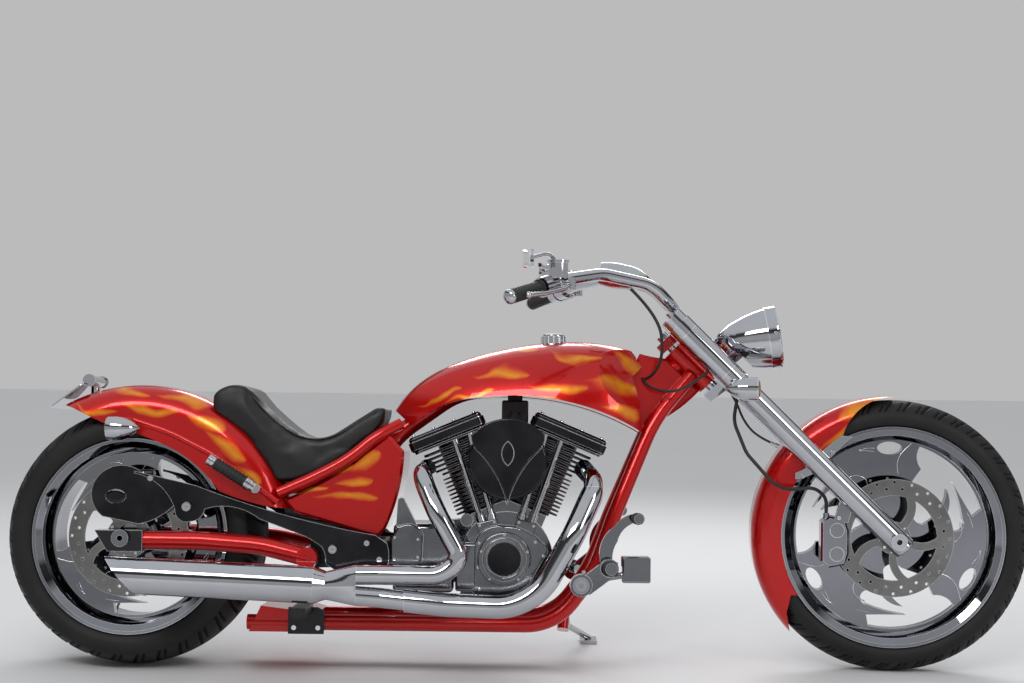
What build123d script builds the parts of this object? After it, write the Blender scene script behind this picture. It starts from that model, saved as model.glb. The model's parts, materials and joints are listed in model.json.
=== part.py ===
from build123d import *
from math import cos, radians, sin, sqrt
import os

# Cruiser motorcycle at full size, in millimetres.
# It is drawn upright: x forward from the rear axle, y to the rider's left, z up from the ground.
# At the end the fork turns to where it rests, and the whole machine leans on its side stand.

# Driving dimensions
WHEELBASE = 1935
LEAN = 4.0                 # to the left, on the side stand
STEER_REST = 6.0           # to the right, as it is parked
RAKE = 45.7                # of the fork, from vertical
STEM_OFFSET = 50           # from the fork legs back to the steering stem

REAR_TYRE_RADIUS = 328
REAR_TYRE_WIDTH = 250
REAR_CROWN = 230           # radius across the tread
REAR_BEAD = 230
REAR_LIP = 245
FRONT_TYRE_RADIUS = 348
FRONT_TYRE_WIDTH = 120
FRONT_CROWN = 66
FRONT_BEAD = 267
FRONT_LIP = 282
LIP_WIDTH = 9

LEG_SPREAD = 108           # from the middle to each fork leg
LEG_DIAMETER = 60
COVER_DIAMETER = 66
LEG_TOP = 796              # these four are along the leg, up from the front axle
UPPER_CLAMP = (738, 770)
NECK = (604, 731)
LOWER_CLAMP = (563, 597)
LEG_FOOT = -33

RAIL_Y = 110               # lower frame rails
RAIL_Z = 118
TUBE = 38                  # frame tube diameter
SWINGARM_Y = 178
SWINGARM_TUBE = 46
STRUT_Y = (155, 165)       # the strut plates, inner and outer face
BACKBONE = 44
BELT_Y = (131, 149)
FRONT_PULLEY = (640, 286, 38)   # x, z and radius
COLLECTOR_X = 585          # where the two headers end

CRANK = (946, 280)
V_TILT = 22.5              # each cylinder from vertical
BORE_OUTER = 118           # barrel under its fins
FIN_DIAMETER = 158
BAR_DIAMETER = 32
GRIP_DIAMETER = 35
HEADER = 48
MUFFLER = 89
MUFFLER_Y = -280
CAN_WALL = 2
PIPE_WALL = 2.0
PUSHROD = 20
PLATE_BOLTS = 140          # from hole to hole
PLATE_HOLE = 6.6
AXLE_BORE = 14             # through both axles
GAP = 0.3                  # between pieces that only meet


# Frames of reference
def steer_axes():
    """Unit vectors up along the fork and forward across it."""
    rake = radians(RAKE)
    return Vector(-sin(rake), 0, cos(rake)), Vector(cos(rake), 0, sin(rake))


def front_axle_height():
    """The height that puts the front tyre on the same floor as the rear one, turned and leaning."""
    up, across = steer_axes()
    floor = REAR_CROWN * (cos(radians(LEAN)) - 1)
    height = FRONT_TYRE_RADIUS
    for _ in range(6):
        centre = Vector(WHEELBASE, 0, height)
        stem = Axis(centre - across * STEM_OFFSET, up)
        centre = lean(turn_vector(centre, stem))
        axle = lean(turn_vector(Vector(0, 1, 0), Axis((0, 0, 0), up)))
        reach = (FRONT_TYRE_RADIUS - FRONT_CROWN) * sqrt(1 - axle.Z ** 2)
        height += floor - (centre.Z - reach - FRONT_CROWN)
    return height


def turn_vector(point, axis):
    """The point after the fork has turned from straight ahead to where it rests."""
    arm = point - axis.position
    along = axis.direction * arm.dot(axis.direction)
    angle = radians(-STEER_REST)
    flat = arm - along
    return axis.position + along + flat * cos(angle) + axis.direction.cross(flat) * sin(angle)


def lean(point):
    """The point after the machine has leaned to its left about the line under its wheels."""
    angle = radians(LEAN)
    return Vector(point.X, point.Y * cos(angle) + point.Z * sin(angle),
                  point.Z * cos(angle) - point.Y * sin(angle))


REAR_AXLE = Vector(0, 0, REAR_TYRE_RADIUS)
FRONT_AXLE = Vector(WHEELBASE, 0, front_axle_height())
FORK_UP, FORK_ACROSS = steer_axes()
STEM = Axis(FRONT_AXLE - FORK_ACROSS * STEM_OFFSET, FORK_UP)
# In the fork's own frame x is across, forward and up, y is left, and z runs up the legs.
FORK = Plane(origin=FRONT_AXLE, x_dir=FORK_ACROSS, z_dir=FORK_UP)


# Building blocks
def outline(start, *legs):
    """A face from lines and arcs: a leg is its end point, or a pair of a middle point and an end point."""
    edges = []
    here = start
    for leg in legs:
        if isinstance(leg[0], tuple):
            edges.append(ThreePointArc(here, leg[0], leg[1]))
            here = leg[1]
        else:
            edges.append(Line(here, leg))
            here = leg
    if here != start:
        edges.append(Line(here, start))
    return make_face(edges)


def slab(face, y_low, y_high):
    """A side view (x, z) as thick as from y_low to y_high."""
    return extrude(Plane.XZ.offset(-y_high) * face, amount=y_high - y_low)


def both_sides(shape):
    """A piece on the right and its mirror image on the left."""
    return [shape, shape.mirror(Plane.XZ)]


def rod(start, end, diameter):
    start, end = Vector(start), Vector(end)
    place = Plane(origin=start, z_dir=end - start)
    return extrude(place * Circle(diameter / 2), amount=(end - start).length)


def bends(points, largest):
    """For each inner point the largest bend that its two runs have room for."""
    radii = []
    for before, here, after in zip(points, points[1:], points[2:]):
        run_in, run_out = Vector(here) - Vector(before), Vector(after) - Vector(here)
        half_turn = radians(run_in.get_angle(run_out) / 2)
        room = 0.45 * min(run_in.length, run_out.length) / max(0.01, abs(sin(half_turn) / cos(half_turn)))
        radii.append(min(largest, room))
    return radii


def pipe(points, diameter, largest=400):
    """A round bar along straight runs joined by bends as large as they can be, up to a largest radius."""
    path = FilletPolyline(*points, radius=bends(points, largest))
    return sweep(Plane(origin=path @ 0, z_dir=path % 0) * Circle(diameter / 2), path=path)


def turned(section, centre=(0, 0, 0)):
    """A ring about a wheel's axle, from a section given as (y, radius)."""
    return Pos(*centre) * revolve(Plane.YZ * section, Axis.Y)


def block(x_range, y_range, z_range, rounding=0):
    size = [high - low for low, high in (x_range, y_range, z_range)]
    middle = [(high + low) / 2 for low, high in (x_range, y_range, z_range)]
    solid = Pos(*middle) * Box(*size)
    return fillet(solid.edges(), rounding) if rounding else solid


def one(*shapes):
    """The shapes fused into one solid."""
    whole = shapes[0]
    for shape in shapes[1:]:
        whole = whole + shape
    return whole


# Wheels
def tyre(radius, width, crown, bead, lip, seat, centre):
    shoulder_y = width / 2 - 7
    shoulder_r = radius - crown + sqrt(crown ** 2 - shoulder_y ** 2)
    side_r = (lip + shoulder_r) / 2
    section = outline(
        (-seat, bead), (seat, bead), (seat, lip + 1.5), (seat + 6, lip + 2),
        ((width / 2, side_r), (shoulder_y, shoulder_r)), ((0, radius), (-shoulder_y, shoulder_r)),
        ((-width / 2, side_r), (-seat - 6, lip + 2)), (-seat, lip + 1.5), (-seat, bead))
    return turned(section, centre)


def rim_barrel(half, bead, lip, drop):
    """The rolled rim: two lips, two bead seats and the drop between them."""
    edge = half + LIP_WIDTH
    wall = 8
    bevel = half * 0.55
    return turned(outline(
        (edge, lip), (half, lip), (half, bead - 1), (bevel + 8, bead - 1), (bevel, bead - drop),
        (-bevel, bead - drop), (-bevel - 8, bead - 1), (-half, bead - 1), (-half, lip), (-edge, lip),
        (-edge, lip - 8), (-half + 1, bead - wall), (-bevel - 8, bead - wall - 2),
        (-bevel + 2, bead - drop - wall), (bevel - 2, bead - drop - wall),
        (bevel + 8, bead - wall - 2), (half - 1, bead - wall), (edge, lip - 8)))


FLAME_DISC = 251            # the disc radius that the flame window is drawn for
WHEEL_REPEATS = 3


def flame_window():
    """One flame-cut window: along the rim, round the long lick, round the short lick, and up the spoke."""
    return outline(
        (73, 229), ((170, 169), (229, 70)), (208, 52),
        ((181, 96), (156, 139)), ((173, 90), (183, 43)), ((170, 14), (150, 28)), (146, 63),
        ((150, 92), (141, 122)), ((124, 66), (84, 30)), ((62, 40), (58, 66)),
        (47, 118), (56, 142), (77, 172), ((66, 198), (73, 229)))


def wheel_disc(radius, y_low, y_high):
    """The machined disc, with three flame-cut windows and a small oval one in each spoke."""
    disc = turned(outline((y_low, 30), (y_high, 30), (y_high, radius), (y_low, radius)))
    size = radius / FLAME_DISC
    for cut in (flame_window(), Pos(-4, 225) * Ellipse(31, 16)):
        window = slab(scale(cut, by=size), y_low - 5, y_high + 5)
        for repeat in range(WHEEL_REPEATS):
            disc = disc - window.rotate(Axis.Y, 360 / WHEEL_REPEATS * repeat)
    return disc


def wheel(centre, half, bead, lip, drop, disc_y, hub_half, hub_radius, bore):
    disc_radius = bead - drop - 4
    barrel = rim_barrel(half, bead, lip, drop)
    disc = wheel_disc(disc_radius, *disc_y)
    hub = turned(outline((-hub_half, bore), (hub_half, bore), (hub_half, hub_radius),
                         (-hub_half, hub_radius)))
    return Pos(*centre) * (barrel + disc + hub)


def rotor(centre, outer, inner, y_low, y_high, hub, arms, holes):
    """A brake disc: a ring with two staggered rows of holes, and hooked arms in to its hub."""
    face = Circle(outer) - Circle(inner)
    for row, radius in enumerate((outer - 8, outer - 24)):
        face = face - PolarLocations(radius, holes, start_angle=180 / holes * row) * Circle(3.6)
    arm = outline((hub - 8, -12), ((hub + 30, -30), (inner + 4, -18)), (inner + 4, 8),
                  ((hub + 34, -10), (hub - 8, 14)))
    face = face + Circle(hub + 14)
    for number in range(arms):
        face = face + Rot(Z=360 / arms * number) * arm
    return Pos(*centre) * slab(face - Circle(hub - 10), y_low, y_high)


def rear_wheel_nodes():
    half = REAR_TYRE_WIDTH / 2 - 16
    return {
        "rear_tyre": tyre(REAR_TYRE_RADIUS, REAR_TYRE_WIDTH, REAR_CROWN, REAR_BEAD, REAR_LIP, half - GAP,
                          REAR_AXLE),
        "rear_rim": wheel(REAR_AXLE, half, REAR_BEAD, REAR_LIP, 15, (-60, -38), 112, 48, 13),
        "rear_rotor": rotor(REAR_AXLE, 150, 110, -128, -122, 40, 5, 20) + turned(
            outline((-122, 30), (-112 - GAP, 30), (-112 - GAP, 46), (-122, 46)), REAR_AXLE),
        "rear_pulley": turned(outline((112 + GAP, 30), (150, 30), (150, 46), (138, 46), (138, 88), (150, 92),
                                      (150, 100), (130, 100), (130, 92), (130, 46), (112 + GAP, 46)),
                                      REAR_AXLE),
    }


def front_wheel_nodes():
    half = FRONT_TYRE_WIDTH / 2 - 14
    return {
        "front_tyre": tyre(FRONT_TYRE_RADIUS, FRONT_TYRE_WIDTH, FRONT_CROWN, FRONT_BEAD, FRONT_LIP,
                           half - GAP,
                           FRONT_AXLE),
        "front_rim": wheel(FRONT_AXLE, half, FRONT_BEAD, FRONT_LIP, 12, (-11, 11), 56, 36, 13),
        "front_rotor": rotor(FRONT_AXLE, 150, 108, -67, -62, 28, 5, 20) + turned(
            outline((-62, 18), (-56 - GAP, 18), (-56 - GAP, 34), (-62, 34)), FRONT_AXLE),
    }


# Fork
LAMP_PLACE = (1640, 0, 856)
LAMP_TILT = 9


def fork_legs():
    """Each leg with its cover between the clamps, and the two-armed plate that carries the fender."""
    leg = Pos(0, LEG_SPREAD, LEG_FOOT) * Cylinder(LEG_DIAMETER / 2, LEG_TOP - LEG_FOOT,
                                                 align=(Align.CENTER, Align.CENTER, Align.MIN))
    leg = fillet(leg.edges().filter_by(GeomType.CIRCLE).sort_by(Axis.Z)[0], 8)
    cover = Pos(0, LEG_SPREAD, LOWER_CLAMP[1] + GAP) * Cylinder(
        COVER_DIAMETER / 2, UPPER_CLAMP[0] - LOWER_CLAMP[1] - 2 * GAP,
        align=(Align.CENTER, Align.CENTER, Align.MIN))
    leg = FORK * (leg + cover)
    bore = rod(FRONT_AXLE + Vector(0, 40, 0), FRONT_AXLE + Vector(0, 180, 0), 25.4)
    plate = slab(outline((1684, 496), ((1720, 506), (1748, 524)), ((1776, 556), (1826, 606)), (1800, 608),
                         ((1764, 580), (1742, 560)), ((1722, 534), (1684, 512))), 72 + GAP, 86)
    return both_sides(leg - bore + plate)


def clamp(low, high):
    """A yoke between the legs, with a boss round each leg and one on the stem."""
    web = make_hull(
        [edge for spot, radius in (((0, LEG_SPREAD), 26), ((0, -LEG_SPREAD), 26), ((-STEM_OFFSET, 0), 34))
         for edge in (Pos(*spot) * Circle(radius)).edges()])
    yoke = Pos(0, 0, low + 4) * extrude(web, amount=high - low - 8)
    for side in (-1, 1):
        yoke = yoke + Pos(0, side * LEG_SPREAD, low) * Cylinder(
            COVER_DIAMETER / 2, high - low, align=(Align.CENTER, Align.CENTER, Align.MIN))
    for side in (-1, 1):
        yoke = yoke - Pos(0, side * LEG_SPREAD, low - 1) * Cylinder(
            LEG_DIAMETER / 2 + 0.1, high - low + 2, align=(Align.CENTER, Align.CENTER, Align.MIN))
    return yoke


def fork_clamps():
    stem = Pos(-STEM_OFFSET, 0, LOWER_CLAMP[0] + 6) * Cylinder(
        16, UPPER_CLAMP[1] - LOWER_CLAMP[0] + 4, align=(Align.CENTER, Align.CENTER, Align.MIN))
    return FORK * one(clamp(*LOWER_CLAMP), clamp(*UPPER_CLAMP), stem)


# The handlebar's right half, straight ahead, from its middle to its end.
BAR_POINTS = ((1374, 0, 926), (1374, -56, 926), (1316, -86, 986), (1190, -165, 1010), (1110, -260, 994),
              (978, -428, 945))


def bar_path():
    left = [(x, -y, z) for x, y, z in BAR_POINTS[:0:-1]]
    right = list(BAR_POINTS[1:])
    return left + right


def bar_line(share):
    """A point on the bar's outer right run, 0 at its inner end and 1 at its tip."""
    inner, tip = Vector(BAR_POINTS[-2]), Vector(BAR_POINTS[-1])
    return inner + (tip - inner) * share


def handlebar():
    """The bar on its two risers, with the drop-shaped gauge housing on its middle."""
    bar = pipe(bar_path(), BAR_DIAMETER, 120)
    for side in (-1, 1):
        riser = Pos(10, side * 38, UPPER_CLAMP[1] - 4 + GAP) * Cylinder(
            15, 42, align=(Align.CENTER, Align.CENTER, Align.MIN))
        bar = bar + FORK * riser
    drop = revolve(outline((-68, 0), (-68, 30), ((-30, 35), (0, 33)), ((44, 22), (70, 0))), Axis.X)
    pod = Pos(1248, 0, 1008) * Rot(Y=8) * drop
    neck = rod((1374, 0, 926), (1290, 0, 1004), 20)
    return one(bar, pod, neck)


def grips():
    grip = rod(bar_line(0.50), bar_line(1.02), GRIP_DIAMETER)
    core = rod(bar_line(0.45), bar_line(1.0), BAR_DIAMETER + 0.2)
    return both_sides(grip - core)


def hand_controls():
    """On each side a switch housing, a clamp with its reservoir, a lever and a small mirror on a stalk."""
    clamp_ring = rod(bar_line(0.20), bar_line(0.34), 46)
    housing = rod(bar_line(0.36), bar_line(0.48), 50)
    neck = rod(bar_line(0.3), bar_line(0.4), 40)
    seat_point = bar_line(0.27)
    reservoir = Pos(*(seat_point + Vector(12, -8, 34))) * Cylinder(24, 40)
    reservoir = reservoir + Pos(*(seat_point + Vector(12, -8, 54))) * Cylinder(27, 6)
    pivot = seat_point + Vector(42, 2, 0)
    joint = rod(seat_point + Vector(14, 0, 0), pivot, 24) + Pos(*pivot) * Cylinder(12, 30)
    lever = pipe([tuple(pivot), tuple(bar_line(0.42) + Vector(54, 0, -4)),
                  tuple(bar_line(0.75) + Vector(50, 0, -2)),
                  tuple(bar_line(0.98) + Vector(42, 0, 4))], 12, 60)
    tip = Pos(*(bar_line(0.98) + Vector(42, 0, 4))) * Sphere(8)
    face = seat_point + Vector(-56, -62, 58)
    stalk = pipe([tuple(seat_point + Vector(8, -10, 50)), tuple(seat_point + Vector(-10, -30, 74)),
                  tuple(face)],
                 9, 40)
    mirror = extrude(outline((-44, 22), ((0, 15), (44, 22)), ((36, 0), (44, -22)), ((0, -15), (-44, -22)),
                             ((-36, 0), (-44, 22))), amount=9)
    mirror = Plane(origin=face - Vector(5, 2, 0), x_dir=(-0.3, 1, 0), z_dir=(1, 0.3, 0)) * mirror
    bar_room = rod(bar_line(-0.4), bar_line(1.0), BAR_DIAMETER + 0.2)
    whole = one(clamp_ring, neck, housing, reservoir, joint, lever, tip, stalk, mirror)
    return both_sides(whole - bar_room)


def headlight():
    """A long bowl with a raised rim, open in front for its lens, on an arm from the lower clamp."""
    shell = revolve(outline((-168, 0), ((-150, 26), (-105, 56)), ((-60, 72), (-24, 79)), (-24, 82),
                            (0, 82), (0, 0)), Axis.X)
    room = revolve(outline((-70, 0), ((-60, 40), (-8, 70)), (-8, 76.3), (1, 76.3), (1, 0)), Axis.X)
    place = Pos(*LAMP_PLACE) * Rot(Y=-LAMP_TILT)
    foot = FORK * (Pos(4, 0, LOWER_CLAMP[1] - 4 + GAP) * Box(30, 58, 26,
                                                             align=(Align.CENTER, Align.CENTER, Align.MIN)))
    arm = pipe([(1497, 0, 777), (1527, 0, 803), (1594, 0, 808)], 24, 40)
    below = FORK * (Pos(-20, 0, LOWER_CLAMP[1] - 4 + GAP) * Box(160, 120, 60,
                                                                align=(Align.CENTER, Align.CENTER,
                                                                       Align.MAX)))
    return one(place * (shell - room), foot, arm) - place * room - below


def headlight_lens():
    """A flat-backed dome with its edge in the bowl's recess."""
    radius, rise = 76, 9
    sphere = (radius ** 2 + rise ** 2) / (2 * rise)
    middle = (sqrt(sphere ** 2 - (radius / 2) ** 2) - sphere + rise, radius / 2)
    glass = revolve(outline((-7.7, 0), (-7.7, radius), (0, radius), (middle, (rise, 0))), Axis.X)
    return Pos(*LAMP_PLACE) * Rot(Y=-LAMP_TILT) * glass


def signal(length, radius):
    """A bullet lamp along x, its round nose behind and its lens in front."""
    section = outline((-length, 0), ((-length * 0.7, radius * 0.7), (-length * 0.25, radius)),
                      (0, radius), (0, 0))
    return revolve(section, Axis.X)


def front_signals():
    lamp = Pos(1578, -174, 726) * signal(80, 29)
    stalk = rod((1545, -150, 722), (1545, -139, 722), 16)
    return both_sides(lamp + stalk)


def front_fender():
    """A wrap-round fender: a revolved U with its two ends cut to shape in the side view."""
    inner, thick, half, corner = FRONT_TYRE_RADIUS + 6.5, 4, 68, 44
    skirt = 284
    outer = inner + thick
    section = outline(
        (-half - thick, skirt), (-half - thick, outer - corner),
        ((-half - thick + 0.3 * corner, outer - 0.3 * corner), (-half - thick + corner, outer)),
        (half + thick - corner, outer),
        ((half + thick - 0.3 * corner, outer - 0.3 * corner), (half + thick, outer - corner)),
        (half + thick, skirt), (half, skirt), (half, inner - corner),
        ((half - 0.3 * corner, inner - 0.3 * corner), (half - corner, inner)), (-half + corner, inner),
        ((-half + 0.3 * corner, inner - 0.3 * corner), (-half, inner - corner)), (-half, skirt))
    ring = revolve(Plane.YZ * section, Axis.Y, 140)
    ring = ring.rotate(Axis.Y, -140)
    # ends, in the wheel's own frame
    front_cut = slab(outline((-172, 214), (-130, 262), ((-95, 320), (0, 357)), (40, 400), (60, 100),
                             (-100, 100)),
                     -90, 90)
    rear_cut = slab(outline((-258, -150), (-268, -195), (-256, -253), (-300, -300), (-100, -300),
                            (-100, -150)),
                    -90, 90)
    fender = ring - front_cut - rear_cut
    return Pos(*FRONT_AXLE) * fender


def front_axle():
    """The hollow axle, its two end nuts and the spacer on each side of the hub."""
    length = LEG_SPREAD + LEG_DIAMETER / 2 + 12
    axle = rod(FRONT_AXLE + Vector(0, -length, 0), FRONT_AXLE + Vector(0, length, 0), 25)
    for side in (-1, 1):
        nut = rod(FRONT_AXLE + Vector(0, side * (length - 11.7), 0),
                  FRONT_AXLE + Vector(0, side * length, 0), 40)
        axle = axle + nut
    return axle - rod(FRONT_AXLE + Vector(0, -length - 1, 0), FRONT_AXLE + Vector(0, length + 1, 0),
                      AXLE_BORE)


def rod_of_leg():
    """The room that the right leg takes."""
    return FORK * (Pos(0, -LEG_SPREAD, LEG_FOOT) * Cylinder(
        LEG_DIAMETER / 2 + 0.1, LEG_TOP - LEG_FOOT, align=(Align.CENTER, Align.CENTER, Align.MIN)))


def front_caliper():
    """A four-piston block round the rotor's rear edge, on a bracket from the leg."""
    x, z = FRONT_AXLE.X - 152, FRONT_AXLE.Z - 10
    side = outline((x - 34, z - 50), (x - 34, z + 50), (x - 14, z + 66), (x + 26, z + 58), (x + 36, z + 30),
                   (x + 36, z - 30), (x + 26, z - 58), (x - 14, z - 66))
    body = slab(side, -92, -46)
    body = chamfer(body.edges().group_by(Axis.Y)[0], 5)
    slot = block((x - 18, x + 60), (-73, -56), (z - 90, z + 90))
    for height in (-30, 30):
        body = body + rod((x + 6, -95, z + height), (x + 6, -88, z + height), 36)
    bracket = slab(outline((x - 4, z + 50), (x + 34, z + 50), (x + 48, z + 110), (x + 20, z + 124)), -92, -80)
    fitting = rod((x - 20, -78, z + 56), (x - 20, -78, z + 72), 15)
    return body - slot + (bracket - rod_of_leg()) + fitting


# Frame
def right_frame_tube():
    """The lower rail, the front corner and the downtube, up to the neck."""
    points = [(300, -RAIL_Y, RAIL_Z), (1070, -RAIL_Y, RAIL_Z), (1168, -100, 250), (1215, -84, 385),
              (1322, -50, 640), (1418, -31, 752)]
    return pipe(points, TUBE)


def backbone(diameter):
    """The top tube, from the head down to the swingarm's cross tube."""
    return pipe([(1392, 0, 779), (1250, 0, 732), (820, 0, 705), (630, 0, 570), (590, 0, 340)], diameter, 200)


def frame_neck():
    """The steering head, the backbone behind it and the moulded web under them."""
    head = FORK * (Pos(-STEM_OFFSET, 0, NECK[0]) * Cylinder(
        34, NECK[1] - NECK[0], align=(Align.CENTER, Align.CENTER, Align.MIN)))
    bore = FORK * (Pos(-STEM_OFFSET, 0, NECK[0] - 1) * Cylinder(
        22, NECK[1] - NECK[0] + 2, align=(Align.CENTER, Align.CENTER, Align.MIN)))
    web = slab(outline((1287, 612), ((1352, 642), (1441, 714)), (1356, 796), ((1320, 800), (1286, 808)),
                       (1250, 740)),
               -24, 0)
    web = chamfer(web.edges().group_by(Axis.Y)[0], 7)
    return one(head, backbone(BACKBONE), web, web.mirror(Plane.XZ)) - bore


SEAT_RAIL = ((676, 96, 618), (618, 116, 588), (540, 124, 521), (448, 128, 474), (372, 130, 440))
RAIL_TUBE = 30


def seat_rail():
    """Under the seat's left edge, from the tank's foot back to the fender."""
    return pipe(SEAT_RAIL, RAIL_TUBE)


def seat_rails():
    cross = rod((618, -110, 588), (618, 110, 588), 26)
    rails = one(seat_rail(), seat_rail().mirror(Plane.XZ), cross)
    return rails - backbone(BACKBONE + 2 * GAP) - fuel_tank_body()


def lower_fairing():
    """The closed tail of the lower frame."""
    tail = slab(outline((306, 96), (470, 96), (470, 136), (420, 150), (335, 160)), -128, 128)
    for side in (-1, 1):
        tail = tail - rod((299, side * RAIL_Y, RAIL_Z), (480, side * RAIL_Y, RAIL_Z), TUBE + 0.4)
    return tail


def exhaust_bracket():
    """The plate on the fairing's right side that carries the silencer on an arm."""
    plate = slab(outline((405, 92), (494, 92), (494, 150), (478, 158), (405, 158)), -136, -128 - GAP)
    arm = block((430, 466), (MUFFLER_Y, -130), (146, 170), 0)
    plate = one(plate, arm) - right_frame_tube()
    return plate - rod((-40, MUFFLER_Y, 247), (486, MUFFLER_Y, 226), MUFFLER + 2 * GAP)


def side_stand_geometry():
    """Pivot, ankle and foot of the stand on its floor, the way it folds to, and its axis; all upright."""
    pivot = Vector(1100, RAIL_Y + 26, RAIL_Z - 22)
    foot_y = 335
    foot = Vector(1176, foot_y, foot_y * sin(radians(LEAN)) / cos(radians(LEAN)))
    ankle = foot + Vector(0, 0, 13)
    folded = Vector(-0.985, 0.17, 0.05).normalized()
    axis = (ankle - pivot).normalized().cross(folded).normalized()
    return pivot, ankle, foot, folded, axis


def side_stand():
    pivot, ankle, foot, _, axis = side_stand_geometry()
    floor = Plane(origin=foot, z_dir=(0, -sin(radians(LEAN)), cos(radians(LEAN))))
    under = floor * (Pos(0, 0, -50 + 4) * Box(400, 400, 100))
    leg = rod(pivot, ankle + (ankle - pivot).normalized() * 6, 17) - under
    eye = extrude(Plane(origin=pivot - axis * 9, z_dir=axis) * Circle(17), amount=18)
    sole = floor * (Pos(0, 0, 5) * Box(64, 46, 10))
    bolt_room = extrude(Plane(origin=pivot - axis * 20, z_dir=axis) * Circle(6.3), amount=40)
    return one(leg, eye, sole) - bolt_room


def stand_mount():
    """The forked lug on the left rail, and its bolt."""
    pivot, _, _, _, axis = side_stand_geometry()
    rail = Vector(pivot.X, RAIL_Y, RAIL_Z)
    toward = rail - pivot - axis * (rail - pivot).dot(axis)
    place = Plane(origin=pivot, x_dir=toward, z_dir=axis)
    rounds = Circle(15).edges() + (Pos(toward.length + 6, 0) * Circle(15)).edges()
    lug = place.offset(-20) * extrude(make_hull(rounds), amount=40)
    eye_room = place.offset(-9.6) * extrude(Circle(26), amount=19.2)
    bolt = place.offset(-20) * extrude(Circle(6), amount=40)
    return lug - eye_room + bolt


# Tank, seat and body
# Sections of the fuel tank: x, half width, lowest z, z of the widest place, top z.
TANK_SECTIONS = (
    (652, 30, 560, 600, 652),
    (760, 92, 560, 660, 756),
    (920, 138, 560, 690, 813),
    (1090, 152, 560, 700, 837),
    (1220, 128, 560, 710, 828),
    (1306, 58, 560, 720, 800),
)
BACKBONE_ROOM = ((560, 450), (1420, 450), (1420, 880), (1285, 806), (1250, 764), (812, 735), (560, 532))


def tank_section(x, half, low, side, top):
    section = outline((-half * 0.9, low), (half * 0.9, low), ((half, side), (half * 0.62, top - half * 0.22)),
                      ((0, top), (-half * 0.62, top - half * 0.22)), ((-half, side), (-half * 0.9, low)))
    return Plane.YZ.offset(x) * section


FRONT_FACET = (Vector(1180, -100, 790), Vector(4471, -6005, 3406))   # a point of it and its normal


def fuel_tank_body():
    """The tank's outside, with a flat facet on each front corner and a horn below it."""
    body = loft([tank_section(*row) for row in TANK_SECTIONS])
    side_view = slab(outline((640, 665), (700, 614), ((775, 663), (892, 688)), ((1100, 676), (1288, 602)),
                             ((1278, 690), (1262, 745)), (1320, 800), (1320, 900), (640, 900)), -200, 200)
    point, normal = FRONT_FACET
    facet = Plane(origin=point, z_dir=normal) * Box(500, 500, 200,
                                                    align=(Align.CENTER, Align.CENTER, Align.MIN))
    return (body & side_view) - facet - facet.mirror(Plane.XZ)


def fuel_tank():
    room = slab(make_face(Polyline(*BACKBONE_ROOM, close=True)), -27, 27)
    cap_seat = Pos(1063, 0, 826) * Cylinder(34.3, 40, align=(Align.CENTER, Align.CENTER, Align.MIN))
    tank = fuel_tank_body() - room - cap_seat - frame_neck_room() - backbone(BACKBONE + 2 * GAP)
    for tube in frame_tubes():
        tank = tank - tube
    return tank


def frame_neck_room():
    """The slot in the tank's front that the neck's web stands in."""
    return slab(outline((1240, 560), (1460, 560), (1460, 840), (1240, 840)), -24 - GAP, 24 + GAP)


def fuel_cap():
    """A round cap with finger grooves."""
    grooves = PolarLocations(35, 16) * Circle(2.4)
    cap = Pos(1063, 0, 826 + GAP) * extrude(Circle(34) - grooves, amount=24)
    dome = Pos(1063, 0, 850) * Cylinder(29, 7, align=(Align.CENTER, Align.CENTER, Align.MIN))
    return cap + fillet(dome.edges().sort_by(Axis.Z)[-1], 5)


def seat():
    """The cushion's closed form, between the rails and up against the fender and the tank."""
    face = outline((196, 684), ((240, 709), (272, 709)), (290, 698), ((345, 640), (403, 592)),
                   ((456, 573), (520, 590)), (640, 668), (628, 632), ((500, 500), (380, 468)), (340, 470),
                   (240, 580), (196, 640))
    cushion = slab(face, -122, 122) - fender_outer() - fuel_tank_body()
    for side in (seat_rail(), seat_rail().mirror(Plane.XZ)):
        cushion = cushion - side
    return cushion - rod((618, -130, 588), (618, 130, 588), 26)


def oil_tank():
    """The side panels and the oil tank between them, under the seat rails."""
    face = outline((384, 424), ((470, 466), (560, 522)), (622, 572), (646, 590), (686, 548),
                   ((672, 440), (641, 351)),
                   (622, 332), (410, 392))
    body = slab(face, -118, 0)
    body = chamfer(body.edges().group_by(Axis.Y)[0], 7)
    body = body + body.mirror(Plane.XZ) - backbone(BACKBONE + 2 * GAP) - fuel_tank_body() - fender_outer()
    for side in (seat_rail(), seat_rail().mirror(Plane.XZ)):
        body = body - side
    return body - rod((618, -130, 588), (618, 130, 588), 26)


# The rear fender's form turned about its own centre: x and z of that, and the radius over its crown.
FENDER_CENTRE = (15, 312)
FENDER_RADIUS = 400
FENDER_HALF = 140
FENDER_SHOULDER = 58
FENDER_WALL = 6
FENDER_SKIRT = 236          # the sides reach in to this radius before they are cut to shape


def fender_section(inset):
    """Half a section through the crown, given as (y, radius), this far inside the outer face."""
    half, top, bend = FENDER_HALF - inset, FENDER_RADIUS - inset, FENDER_SHOULDER - inset
    cut = bend * (1 - sqrt(0.5))
    return [(half, top - bend - 12), ((half - cut, top - cut - 8), (half - bend, top - 4))], top, half


def fender_turned(inset):
    (start, shoulder), top, half = fender_section(inset)
    skirt = FENDER_SKIRT - inset
    mirrored = ((-shoulder[0][0], shoulder[0][1]), (-start[0], start[1]))
    section = outline((half, skirt), start, shoulder, ((0, top), (-shoulder[1][0], shoulder[1][1])), mirrored,
                      (-half, skirt), (half, skirt))
    return turned(section, (FENDER_CENTRE[0], 0, FENDER_CENTRE[1]))


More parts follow.
